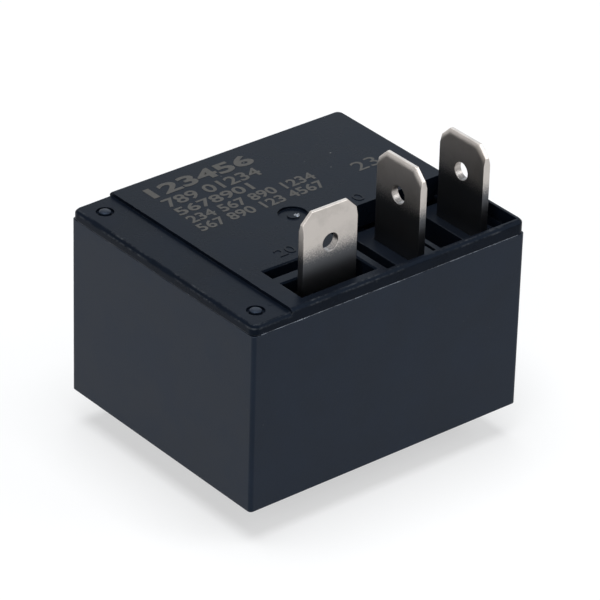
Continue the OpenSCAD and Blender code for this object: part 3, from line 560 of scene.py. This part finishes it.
def soften(bm, width, chosen=None):
    """Rounds the sharp edges of a shape, or the chosen ones of them, and marks the new faces as edges."""
    layers = bm.faces.layers.float
    layer = layers.get(EDGE_MARK) or layers.new(EDGE_MARK)
    sharp = [e for e in bm.edges
             if len(e.link_faces) == 2 and e.calc_face_angle(0) > SHARP
             and (not chosen or chosen((e.verts[0].co + e.verts[1].co) / 2))]
    made = bmesh.ops.bevel(
        bm, geom=sharp, offset=width, offset_type="OFFSET", segments=shapes().edge_steps, profile=0.5,
        affect="EDGES", clamp_overlap=True, loop_slide=False)
    for face in made["faces"]:
        face[layer] = 1.0


def linked(name, data):
    """A new object in the scene."""
    obj = bpy.data.objects.new(name, data)
    bpy.context.scene.collection.objects.link(obj)
    return obj


def evaluated_mesh(obj, **options):
    """The mesh that an object gives once its modifiers have run."""
    graph = bpy.context.evaluated_depsgraph_get()
    return bpy.data.meshes.new_from_object(obj.evaluated_get(graph), depsgraph=graph, **options)


def as_object(name, bm):
    """An object at the origin with a shape given in millimetres."""
    mesh = bpy.data.meshes.new(name)
    bmesh.ops.scale(bm, vec=(MM,) * 3, verts=bm.verts)
    bm.to_mesh(mesh)
    bm.free()
    return linked(name, mesh)


def settle(obj):
    """Turns an object with modifiers into a plain mesh."""
    mesh = evaluated_mesh(obj, preserve_all_data_layers=True)
    mesh.name = obj.name
    obj.modifiers.clear()
    obj.data = mesh


def flat_areas(bm):
    """The flat area that each face belongs to, with the size and direction of each area."""
    area_of = {}
    areas = []
    for first in bm.faces:
        if first in area_of:
            continue
        area_of[first] = len(areas)
        waiting = [first]
        size = 0.0
        while waiting:
            face = waiting.pop()
            size += face.calc_area()
            for other in {f for edge in face.edges for f in edge.link_faces}:
                if other not in area_of and other.normal.dot(first.normal) > FLAT:
                    area_of[other] = len(areas)
                    waiting.append(other)
        areas.append(first.normal * size)
    return area_of, areas


def smooth(obj):
    """Smooth shading in which each flat area keeps its own direction."""
    bm = bmesh.new()
    bm.from_mesh(obj.data)
    area_of, areas = flat_areas(bm)
    directions = []
    for vert in bm.verts:
        near = {area_of[face] for face in vert.link_faces}
        directions.append(sum((areas[k] for k in near), Vector()).normalized())
    bm.free()
    obj.data.shade_smooth()
    obj.data.normals_split_custom_set_from_vertices(directions)
    return obj


def paint(obj, material):
    """Gives a piece one finish all over."""
    obj.data.materials.clear()
    obj.data.materials.append(material)


def place(obj, material, body, slot, *nodes):
    """Gives a piece its finish and its body, and hides the nodes that it stands for."""
    paint(obj, material)
    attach(obj, body)
    if nodes:
        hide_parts(*nodes)


def softened_piece(name, node, width, material, slot, body=STILL):
    """A rounded copy of a CAD node that stands for it."""
    bm = node_copy(node)
    soften(bm, width)
    place(smooth(as_object(name, bm)), material, body, slot, node)


def loft(bm, rings, closed):
    """Joins rings of points into a skin, with its ends closed by caps or by each other."""
    loops = [[bm.verts.new(p) for p in ring] for ring in rings]
    pairs = list(zip(loops, loops[1:])) + ([(loops[-1], loops[0])] if closed else [])
    for first, second in pairs:
        for i in range(len(first)):
            j = (i + 1) % len(first)
            bm.faces.new((first[i], first[j], second[j], second[i]))
    if not closed:
        bm.faces.new(list(reversed(loops[0])))
        bm.faces.new(loops[-1])


def lathe_x(profile, steps):
    """A ring turned about the X axis from a closed profile of (x, radius) points."""
    bm = bmesh.new()
    rings = []
    for k in range(steps):
        turn = 2 * math.pi * k / steps
        rings.append([(x, r * math.cos(turn), r * math.sin(turn)) for x, r in profile])
    loft(bm, rings, closed=True)
    bmesh.ops.recalc_face_normals(bm, faces=bm.faces)
    return bm


def ring_mark(bm, centre, radius, width, low, high, steps=32):
    """A flat ring raised between two levels."""
    rings = []
    for k in range(steps):
        turn = 2 * math.pi * k / steps
        c, s = math.cos(turn), math.sin(turn)
        profile = [(radius - width / 2, low), (radius + width / 2, low),
                   (radius + width / 2, high), (radius - width / 2, high)]
        rings.append([(centre[0] + r * c, centre[1] + r * s, z) for r, z in profile])
    loft(bm, rings, closed=True)


def number_row(bm, text, corner, size, low, high, bold):
    """A row of plain numbers raised between two levels, fitted to a length and a height."""
    curve = bpy.data.curves.new("number_row", "FONT")
    curve.body = text
    curve.resolution_u = 4
    curve.offset = bold / size[1]
    curve.extrude = 0.5
    obj = linked("number_row", curve)
    mesh = evaluated_mesh(obj)
    xs = [v.co.x for v in mesh.vertices]
    ys = [v.co.y for v in mesh.vertices]
    scale = (size[0] / (max(xs) - min(xs)), size[1] / (max(ys) - min(ys)), high - low)
    move = Vector((corner[0], corner[1], (low + high) / 2))
    mesh.transform(Matrix.Translation(move) @ Matrix.Diagonal((*scale, 1))
                   @ Matrix.Translation((-min(xs), -min(ys), 0)))
    bm.from_mesh(mesh)
    bpy.data.objects.remove(obj)
    bpy.data.curves.remove(curve)
    bpy.data.meshes.remove(mesh)


def clean(bm):
    """Merges doubled points and turns all faces outwards."""
    bmesh.ops.remove_doubles(bm, verts=bm.verts, dist=WELD)
    bmesh.ops.recalc_face_normals(bm, faces=bm.faces)


# Geometry node trees


def geometry_tree(name, inputs):
    """An empty geometry tree with named inputs."""
    tree = bpy.data.node_groups.new(name, "GeometryNodeTree")
    tree.interface.new_socket("Geometry", in_out="OUTPUT", socket_type="NodeSocketGeometry")
    tree.interface.new_socket("Geometry", in_out="INPUT", socket_type="NodeSocketGeometry")
    for socket, kind in inputs:
        tree.interface.new_socket(socket, in_out="INPUT", socket_type=kind)
    return tree, tree.nodes.new("NodeGroupInput").outputs, tree.nodes.new("NodeGroupOutput").inputs


def close_tree(tree, geometry, material, target):
    """Ends a tree in real geometry with its material."""
    real = add(tree, "GeometryNodeRealizeInstances", Geometry=geometry)
    painted = add(tree, "GeometryNodeSetMaterial", Geometry=real.outputs["Geometry"], Material=material)
    join(tree, painted.outputs["Geometry"], target["Geometry"])


def make_row(name):
    """Copies of one shape in a straight row."""
    tree, source, target = geometry_tree(name, [
        ("Shape", "NodeSocketObject"), ("Count", "NodeSocketInt"), ("Start", VECTOR), ("Step", VECTOR),
        ("Material", "NodeSocketMaterial")])
    points = add(tree, "GeometryNodeMeshLine", Count=source["Count"], Start_Location=source["Start"],
                 Offset=source["Step"])
    shape = add(tree, "GeometryNodeObjectInfo", Object=source["Shape"], As_Instance=True)
    copies = add(tree, "GeometryNodeInstanceOnPoints", Points=points.outputs["Mesh"],
                 Instance=shape.outputs["Geometry"])
    close_tree(tree, copies.outputs["Instances"], source["Material"], target)
    return tree


def make_braid(name):
    """Strands that wind both ways round a path."""
    tree, source, target = geometry_tree(name, [
        ("Strands", "NodeSocketInt"), ("Turns", FLOAT), ("Radius", FLOAT), ("Strand radius", FLOAT),
        ("Material", "NodeSocketMaterial")])
    path = add(tree, "GeometryNodeResampleCurve", Curve=source["Geometry"], Count=120)
    normal = tree.nodes.new("GeometryNodeInputNormal").outputs["Normal"]
    tangent = tree.nodes.new("GeometryNodeInputTangent").outputs["Tangent"]
    side = vector_node(tree, "CROSS_PRODUCT", tangent, normal)
    along = tree.nodes.new("GeometryNodeSplineParameter").outputs["Factor"]
    profile = add(tree, "GeometryNodeCurvePrimitiveCircle", Resolution=6, Radius=source["Strand radius"])
    both = tree.nodes.new("GeometryNodeJoinGeometry")
    for way in (-1.0, 1.0):
        copies = add(tree, "GeometryNodeDuplicateElements", {"domain": "SPLINE"},
                     Geometry=path.outputs["Curve"], Amount=source["Strands"])
        share = math_node(tree, "DIVIDE", copies.outputs["Duplicate Index"], source["Strands"])
        wound = math_node(tree, "MULTIPLY", math_node(tree, "MULTIPLY", along, source["Turns"]), way)
        angle = math_node(tree, "MULTIPLY", math_node(tree, "ADD", share, wound), 2 * math.pi)
        across = scaled(tree, normal, math_node(tree, "COSINE", angle))
        upright = scaled(tree, side, math_node(tree, "SINE", angle))
        wave = math_node(tree, "SINE", math_node(tree, "MULTIPLY", angle, 4.0))
        rise = math_node(tree, "MULTIPLY", source["Strand radius"], 0.5)
        weave = math_node(tree, "MULTIPLY", math_node(tree, "MULTIPLY", wave, way), rise)
        reach = math_node(tree, "ADD", source["Radius"], weave)
        offset = scaled(tree, vector_node(tree, "ADD", across, upright), reach)
        strands = add(tree, "GeometryNodeSetPosition", Geometry=copies.outputs["Geometry"], Offset=offset)
        tubes = add(tree, "GeometryNodeCurveToMesh", Curve=strands.outputs["Geometry"],
                    Profile_Curve=profile.outputs["Curve"], Fill_Caps=True)
        join(tree, tubes.outputs["Mesh"], both.inputs["Geometry"])
    close_tree(tree, both.outputs["Geometry"], source["Material"], target)
    return tree


def add_tree(obj, tree, values):
    """Puts a geometry tree on an object, with its inputs by name."""
    modifier = obj.modifiers.new(tree.name, "NODES")
    modifier.node_group = tree
    for socket in tree.interface.items_tree:
        if socket.in_out == "INPUT" and socket.name in values:
            modifier[socket.identifier] = values[socket.name]


def filled(obj):
    """The object, once it is sure that its tree gave it faces."""
    if not obj.data.polygons:
        raise RuntimeError(f"{obj.name} came out empty")
    return obj


def row_piece(name, shape, count, start, step, material):
    """A row of copies of a shape, in millimetres, as one mesh."""
    obj = as_object(name, bmesh.new())
    add_tree(obj, once("Row of copies", make_row), {
        "Shape": shape, "Count": count, "Start": Vector(start) * MM, "Step": Vector(step) * MM,
        "Material": material})
    settle(obj)
    bpy.data.objects.remove(shape)
    return filled(obj)


# Pieces


class RELAY_OT_housing(bpy.types.Operator):
    """Moulded case, top plate, contact block, floor and potting"""

    bl_idname = "relay.housing"
    bl_label = "Housing"

    # Width of the plate's outer band, least height of its rim and slack of its foot at the parting line.
    rim_band = 0.45
    rim_rise = 0.3
    foot_slack = 0.05

    def execute(self, context):
        sizes = shapes()
        softened_piece("case_shell", "case", sizes.case_edge, case_plastic(), "case_plastic")
        self.plate(sizes)
        softened_piece("contact_carrier", "contact_block", sizes.block_edge, block_plastic(), "block_plastic")
        softened_piece("floor_plate", "base_plate", sizes.small_edge, block_plastic(), "case_plastic")
        softened_piece("potting_layer", "base_seal", sizes.small_edge, potting_resin(), "potting")
        softened_piece("barrier_sheet", "barrier", sizes.small_edge, barrier_sheet(), "barrier_sheet")
        return {"FINISHED"}

    def plate(self, sizes):
        """The top plate, with a rounder outer rim and foot."""
        def outer(at):
            return (abs(at.x) > PLATE_HIGH.x - self.rim_band
                    or abs(at.y) > PLATE_HIGH.y - self.rim_band)

        def rim(at):
            return outer(at) and at.z > PARTING_Z + self.rim_rise

        def foot(at):
            return outer(at) and abs(at.z - PARTING_Z) < self.foot_slack

        bm = node_copy("top_plate")
        soften(bm, sizes.rim_edge, rim)
        soften(bm, sizes.case_edge, foot)
        soften(bm, sizes.plate_edge, lambda at: not rim(at) and not foot(at))
        place(smooth(as_object("cover_plate", bm)), plate_plastic(), STILL, "case_plastic", "top_plate")


class RELAY_OT_terminals(bpy.types.Operator):
    """Three stamped terminals with their blades, and the two coil pins"""

    bl_idname = "relay.terminals"
    bl_label = "Terminals and pins"

    def execute(self, context):
        edge = shapes().blade_edge
        for name in ("com", "no", "nc"):
            softened_piece(f"{name}_blade", f"{name}_terminal", edge, tinned_metal(), "tinned_metal")
        for name in ("start", "finish"):
            softened_piece(f"{name}_pin", f"coil_pin_{name}", edge / 2, tinned_metal(), "tinned_metal")
        return {"FINISHED"}


class RELAY_OT_marks(bpy.types.Operator):
    """Printed numbers, moulded numbers and the flash on the parting line"""

    bl_idname = "relay.marks"
    bl_label = "Marks"

    # Rows of numbers: text, lower left corner, length and height, and how much bolder than the plain face.
    printed = [
        ("123456", (-9.3, 9.9), (12.2, 2.0), 0.06),
        ("789 01234", (-9.2, 7.7), (11.2, 1.6), 0.03),
        ("5678901", (-9.3, 5.85), (8.9, 1.45), 0.03),
        ("234 567 890 1234", (-9.3, 4.05), (14.9, 1.4), 0.03),
        ("567 890 123 4567", (-9.5, 2.3), (14.9, 1.4), 0.03),
        ("23", (9.6, 2.7), (2.8, 1.7), 0.0),
    ]
    moulded = [("20", (-6.7, -5.7), (2.1, 1.3), 0.0), ("0", (5.7, -1.8), (1.1, 1.3), 0.0)]
    moulded_rise = 0.06
    # Bead of flash: its radius, its gap to the corners, and its rings along and points round.
    flash_radius = 0.115
    flash_gap = 0.9
    flash_rings = 80
    flash_points = 6
    # Torn sprue: its middle, its radius and points round, and its rings as height and share of the radius.
    stub_middle = (-0.4, -0.25)
    stub_radius = 0.3
    stub_points = 16
    stub_rings = ((0.0, 1.0), (0.05, 0.8), (0.08, 0.45))

    def execute(self, context):
        self.numbers("printed_numbers", self.printed, shapes().ink_thick, print_ink())
        self.numbers("moulded_numbers", self.moulded, self.moulded_rise, mark_plastic())
        self.ejector()
        # The front flash gets more of the pale colour than the seam flash: painted highlight where light
        # catches the front line.
        self.flash("front_flash", (0,), flash_plastic("Front flash", 0.3, 0.62))
        self.flash("seam_flash", (1, 2, 3), flash_plastic("Seam flash", 0.56, 0.78))
        self.stub()
        return {"FINISHED"}

    def numbers(self, name, rows, thick, material):
        """Rows of numbers that stand out of the plate's face and reach as far into it."""
        bm = bmesh.new()
        for text, corner, size, bold in rows:
            number_row(bm, text, corner, size, PLATE_HIGH.z - thick, PLATE_HIGH.z + thick, bold)
        clean(bm)
        place(as_object(name, bm), material, STILL, "case_plastic")

    def ejector(self):
        """Ring that an ejector pin left on the low strip."""
        bm = bmesh.new()
        ring_mark(bm, centre=(-12.25, -11.2), radius=0.3, width=0.12, low=STRIP_Z - 0.05, high=STRIP_Z + 0.04)
        clean(bm)
        place(as_object("ejector_mark", bm), plate_plastic(), STILL, "case_plastic")

    def stub(self):
        """Torn end of the sprue on the vent nib."""
        x, y = self.stub_middle
        rings = []
        for level, share in self.stub_rings:
            ring = []
            for k in range(self.stub_points):
                turn = 2 * math.pi * k / self.stub_points
                ragged = 1 + 0.2 * math.sin(3 * turn + 1) + 0.12 * math.sin(5 * turn)
                r = self.stub_radius * share * ragged
                jag = 0.02 * math.sin(4 * turn + 9 * share) if level else 0
                ring.append((x + r * math.cos(turn), y + r * math.sin(turn), VENT_NIB_Z + level + jag))
            rings.append(ring)
        bm = bmesh.new()
        loft(bm, rings, closed=False)
        clean(bm)
        # The stub's pale plastic is in part a painted glint on the vent nib.
        place(as_object("sprue_stub", bm), torn_plastic_with_glint(), STILL, "case_plastic")

    def flash(self, name, sides, material):
        """Thin bead in the parting line on some sides, counted from the front."""
        r = self.flash_radius
        spans = (CASE_HIGH.x, CASE_HIGH.y)
        angles = [math.radians(360 / self.flash_points * i) for i in range(self.flash_points)]
        bm = bmesh.new()
        for side in sides:
            half, depth = spans[side % 2] - self.flash_gap, spans[1 - side % 2] - r
            turn = Matrix.Rotation(math.radians(90 * side), 3, "Z")
            rings = []
            for k in range(self.flash_rings + 1):
                u = half * (2 * k / self.flash_rings - 1)
                size = r * (0.8 + 0.2 * math.sin(1.9 * u + side) * math.sin(0.83 * u + 1))
                ring = [(u, size * math.cos(a) * 0.98 - depth, size * math.sin(a) + PARTING_Z)
                        for a in angles]
                rings.append([turn @ Vector(point) for point in ring])
            loft(bm, rings, closed=False)
        clean(bm)
        obj = as_object(name, bm)
        obj.data.shade_smooth()
        place(obj, material, STILL, "case_plastic")


class RELAY_OT_coil(bpy.types.Operator):
    """Bobbin, turns of wire, tape and leads"""

    bl_idname = "relay.coil"
    bl_label = "Coil"

    # Share of the pitch that half a wire fills, depth of a turn into the core and steps round a turn.
    wire_half = 0.49
    wire_sink = 0.4
    turn_steps = 40

    def execute(self, context):
        sizes = shapes()
        softened_piece("coil_spool", "bobbin", sizes.small_edge, bobbin_plastic(), "bobbin_plastic")
        self.wind()
        softened_piece("tape_wrap", "coil_tape", sizes.small_edge / 3, amber_tape(), "amber_tape")
        for name in ("start", "finish"):
            lead = smooth(as_object(f"{name}_wire", node_copy(f"{name}_lead")))
            place(lead, copper_wire(), STILL, "copper_wire", f"{name}_lead")
        return {"FINISHED"}

    def wind(self):
        """One turn with a round crown, repeated along the bobbin."""
        low, high = mm_box("winding")
        core_low, core_high = mm_box("core")
        outer = (high.y - low.y) / 2
        hollow = (core_high.y - core_low.y) / 2 - self.wire_sink
        turns = int((high.x - low.x) / shapes().wire_pitch)
        pitch = (high.x - low.x) / turns
        half = pitch * self.wire_half
        crown = [(half * math.cos(math.radians(a)), outer - half + half * math.sin(math.radians(a)))
                 for a in range(0, 181, 30)]
        shape = as_object("turn", lathe_x([(half, hollow), *crown, (-half, hollow)], self.turn_steps))
        middle = (low + high) / 2
        start = (low.x + pitch / 2, middle.y, middle.z)
        coil = row_piece("wire_turns", shape, turns, start, (pitch, 0, 0), copper_wire())
        place(smooth(coil), copper_wire(), STILL, "copper_wire", "winding")


class RELAY_OT_magnet(bpy.types.Operator):
    """Core, yoke, armature and the pairs of rivets"""

    bl_idname = "relay.magnet"
    bl_label = "Magnet"

    # Distance between the two rivets of a pair, hole along their axis and steps round them.
    rivet_pitch = 2.8
    rivet_hole = 0.02
    rivet_steps = 24

    def execute(self, context):
        edge = shapes().small_edge
        softened_piece("pole_core", "core", edge * 2, magnet_iron(), "magnet_iron")
        softened_piece("iron_yoke", "yoke", edge, magnet_iron(), "magnet_iron")
        softened_piece("tilt_plate", "armature", edge, magnet_iron(), "magnet_iron", MOVING)
        square = Matrix.Rotation(math.pi / 2, 4, "Z")
        tilted = Matrix.Rotation(REST_ANGLE, 4, "Z")
        across = Vector((1, 0, 0))
        upright = Vector((0, 0, 1))
        self.rivets("yoke_rivet_heads", "yoke_rivets", STILL, 1.4, 0.2, square, across)
        self.rivets("leaf_rivet_heads", "armature_rivets", MOVING, 1.3, 0.2, tilted, upright)
        self.rivets("arm_rivet_heads", "arm_rivets", MOVING, 1.3, 0.4, tilted, upright)
        return {"FINISHED"}

    def rivets(self, name, node, body, carrier, sheet, turn, way):
        """Two domed rivets through a carrier and a sheet, set by the middle of their CAD node."""
        shank, head, rise = 0.6, 1.0, 0.4
        dome = [(sheet + rise * math.sin(math.radians(a)), head * math.cos(math.radians(a)))
                for a in range(0, 90, 15)]
        hole = self.rivet_hole
        profile = [(-carrier, hole), (-carrier, shank), (sheet, shank), *dome, (sheet + rise, hole)]
        bm = lathe_x(profile, self.rivet_steps)
        bmesh.ops.transform(bm, matrix=turn, verts=bm.verts)
        middle = sum(mm_box(node), Vector()) / 2
        along = turn @ Vector(((sheet + rise - carrier) / 2, 0, 0))
        start = middle - along - way * self.rivet_pitch / 2
        pair = row_piece(name, as_object("rivet", bm), 2, start, way * self.rivet_pitch, rivet_steel())
        place(smooth(pair), rivet_steel(), body, "rivet_steel", node)


class RELAY_OT_contacts(bpy.types.Operator):
    """Contacts, contact arm, leaf spring and braid"""

    bl_idname = "relay.contacts"
    bl_label = "Contacts"

    braid_route = [(-3.775, -7.02, 11.75), (-3.775, -5.535, 11.75), (-2.29, -4.05, 11.5),
                   (3.147, -4.05, 10.75), (7.67, -4.05, 11.5), (10.07, -4.05, 11.75)]
    braid_turns = 5.0
    braid_radius = 0.36
    strand_radius = 0.085
    # Length of the leaf that lies on the armature and moves with it.
    leaf_grip = 1.2

    def execute(self, context):
        edge = shapes().small_edge
        for name, body in (("no", STILL), ("nc", STILL), ("moving", MOVING)):
            softened_piece(f"{name}_button", f"{name}_contact", edge * 2, contact_silver(),
                           "contact_silver", body)
        softened_piece("spring_arm", "contact_arm", edge, arm_copper(), "arm_copper", MOVING)
        self.leaf(edge / 2)
        self.braid()
        return {"FINISHED"}

    def bending(self, obj, material, slot, node, start, end):
        """A piece that bends between the fixed body and the armature."""
        paint(obj, material)
        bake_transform(obj, STILL, MOVING, start=Vector(start) * MM, end=Vector(end) * MM)
        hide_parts(node)

    def leaf(self, edge):
        """The leaf spring, which bends from the hinge edge to its rivets on the armature."""
        bm = node_copy("hinge_spring")
        soften(bm, edge)
        low, high = mm_box("hinge_spring")
        armature_low, armature_high = mm_box("armature")
        self.bending(smooth(as_object("leaf_spring", bm)), spring_bronze(), "spring_bronze", "hinge_spring",
                     (armature_low.x, high.y, low.z), (high.x, armature_high.y - self.leaf_grip, low.z))

    def braid(self):
        """The woven conductor along its route, from the common terminal to the arm."""
        curve = bpy.data.curves.new("braid_path", "CURVE")
        curve.dimensions = "3D"
        spline = curve.splines.new("BEZIER")
        spline.bezier_points.add(len(self.braid_route) - 1)
        for point, at in zip(spline.bezier_points, self.braid_route):
            point.co = Vector(at) * MM
            point.handle_left_type = point.handle_right_type = "AUTO"
        path = linked("braid_path", curve)
        add_tree(path, once("Braid", make_braid), {
            "Strands": shapes().strands, "Turns": self.braid_turns, "Radius": self.braid_radius * MM,
            "Strand radius": self.strand_radius * MM, "Material": braid_copper()})
        mesh = evaluated_mesh(path)
        bpy.data.objects.remove(path)
        obj = filled(linked("copper_braid", mesh))
        mesh.shade_smooth()
        self.bending(obj, braid_copper(), "braid_copper", "braid", self.braid_route[0], self.braid_route[-1])


class RELAY_OT_stage(bpy.types.Operator):
    """Floor, white surround, lamps and camera"""

    bl_idname = "relay.stage"
    bl_label = "Stage"

    soft_white = (0.97, 0.985, 1.0)
    cool_white = (0.72, 0.87, 1.0)
    # Lamps: name, place, size, power and colour. All of them look at the same point.
    lamps = [
        ("top_softbox", (-0.05, 0.0, 0.65), 0.5, 4.5, soft_white),
        ("left_softbox", (-0.60, -0.30, 0.26), 0.4, 1.6, soft_white),
        ("front_softbox", (0.42, -0.38, 0.42), 0.4, 1.3, soft_white),
        ("back_softbox", (0.125, 0.142, 0.107), 0.08, 0.019, cool_white),
    ]
    lamp_aim = (0, 0, 0.012)
    # Half width of the floor and its level, a hair under the pin tips, in millimetres.
    floor_half = 1500
    floor_level = -0.02

    def execute(self, context):
        scene = context.scene
        scene.view_settings.view_transform = "Standard"
        self.floor(scene)
        self.surround(scene)
        aim = Vector(self.lamp_aim)
        for name, at, size, power, colour in self.lamps:
            data = bpy.data.lights.new(name, "AREA")
            data.size = size
            data.energy = power
            data.color = colour
            lamp = linked(name, data)
            lamp.location = at
            lamp.rotation_euler = (aim - Vector(at)).to_track_quat("-Z", "Y").to_euler()
        self.camera(scene)
        return {"FINISHED"}

    def floor(self, scene):
        """A pale floor that keeps part of the shadow and is clear from below."""
        bm = bmesh.new()
        bmesh.ops.create_grid(bm, x_segments=1, y_segments=1, size=self.floor_half)
        bmesh.ops.translate(bm, verts=bm.verts, vec=(0, 0, self.floor_level))
        obj = as_object("floor", bm)
        material = bpy.data.materials.new("Floor")
        material.use_nodes = True
        tree = material.node_tree
        tree.nodes.clear()
        pale = add(tree, "ShaderNodeBsdfDiffuse", Color=(0.86, 0.86, 0.86, 1))
        white = add(tree, "ShaderNodeEmission", Color=(1, 1, 1, 1), Strength=1.0)
        seen = math_node(tree, "MULTIPLY", showing_rays(tree), 1 - scene.relay_stage.floor_shade)
        above = mix_shader(tree, seen, pale.outputs[0], white.outputs[0])
        clear = tree.nodes.new("ShaderNodeBsdfTransparent")
        below = tree.nodes.new("ShaderNodeNewGeometry").outputs["Backfacing"]
        add(tree, "ShaderNodeOutputMaterial", Surface=mix_shader(tree, below, above, clear.outputs[0]))
        obj.data.materials.append(material)

    def surround(self, scene):
        """A white surround that lights the relay only softly."""
        world = bpy.data.worlds.new("Surround")
        scene.world = world
        world.use_nodes = True
        tree = world.node_tree
        tree.nodes.clear()
        light = add(tree, "ShaderNodeBackground", Color=(0.94, 0.97, 1, 1), Strength=0.16)
        white = add(tree, "ShaderNodeBackground", Color=(1, 1, 1, 1), Strength=1.0)
        shown = mix_shader(tree, showing_rays(tree), light.outputs[0], white.outputs[0])
        add(tree, "ShaderNodeOutputWorld", Surface=shown)

    def camera(self, scene):
        """The camera at the stage's place, azimuth, elevation and roll."""
        stage = scene.relay_stage
        data = bpy.data.cameras.new("camera")
        data.lens = stage.lens
        data.sensor_width = 36
        data.clip_start, data.clip_end = 0.01, 20
        camera = linked("camera", data)
        a, e = stage.azimuth, stage.elevation
        back = Vector((math.sin(a) * math.cos(e), -math.cos(a) * math.cos(e), math.sin(e)))
        camera.location = stage.camera_place
        camera.rotation_mode = "QUATERNION"
        camera.rotation_quaternion = (-back).to_track_quat("-Z", "Y") @ Quaternion((0, 0, 1), stage.roll)
        scene.camera = camera


class RELAY_PT_panel(bpy.types.Panel):
    """Lists the relay's settings and pieces"""

    bl_idname = "RELAY_PT_panel"
    bl_label = "Power relay"
    bl_space_type = "VIEW_3D"
    bl_region_type = "UI"
    bl_category = "Relay"

    def draw(self, context):
        """Boxes of settings, then a button for each piece."""
        for group in (context.scene.relay_shapes, context.scene.relay_finishes, context.scene.relay_stage):
            box = self.layout.box()
            for name in group.__annotations__:
                box.prop(group, name)
        for operator in PIECES:
            self.layout.operator(operator.bl_idname)


SETTINGS = {
    "relay_shapes": RelayShapeSettings,
    "relay_finishes": RelayFinishSettings,
    "relay_stage": RelayStageSettings,
}
PIECES = (RELAY_OT_housing, RELAY_OT_terminals, RELAY_OT_marks, RELAY_OT_coil, RELAY_OT_magnet,
          RELAY_OT_contacts, RELAY_OT_stage)
CLASSES = (*SETTINGS.values(), *PIECES, RELAY_PT_panel)


def register():
    """Adds the classes and the scene's settings."""
    for cls in CLASSES:
        bpy.utils.register_class(cls)
    for name, cls in SETTINGS.items():
        setattr(bpy.types.Scene, name, PointerProperty(type=cls))


def unregister():
    """Takes the settings and the classes out again."""
    for name in SETTINGS:
        delattr(bpy.types.Scene, name)
    for cls in reversed(CLASSES):
        bpy.utils.unregister_class(cls)


def main():
    """Builds every piece in order."""
    register()
    bpy.ops.relay.housing()
    bpy.ops.relay.terminals()
    bpy.ops.relay.marks()
    bpy.ops.relay.coil()
    bpy.ops.relay.magnet()
    bpy.ops.relay.contacts()
    bpy.ops.relay.stage()


if __name__ == "__main__":
    main()
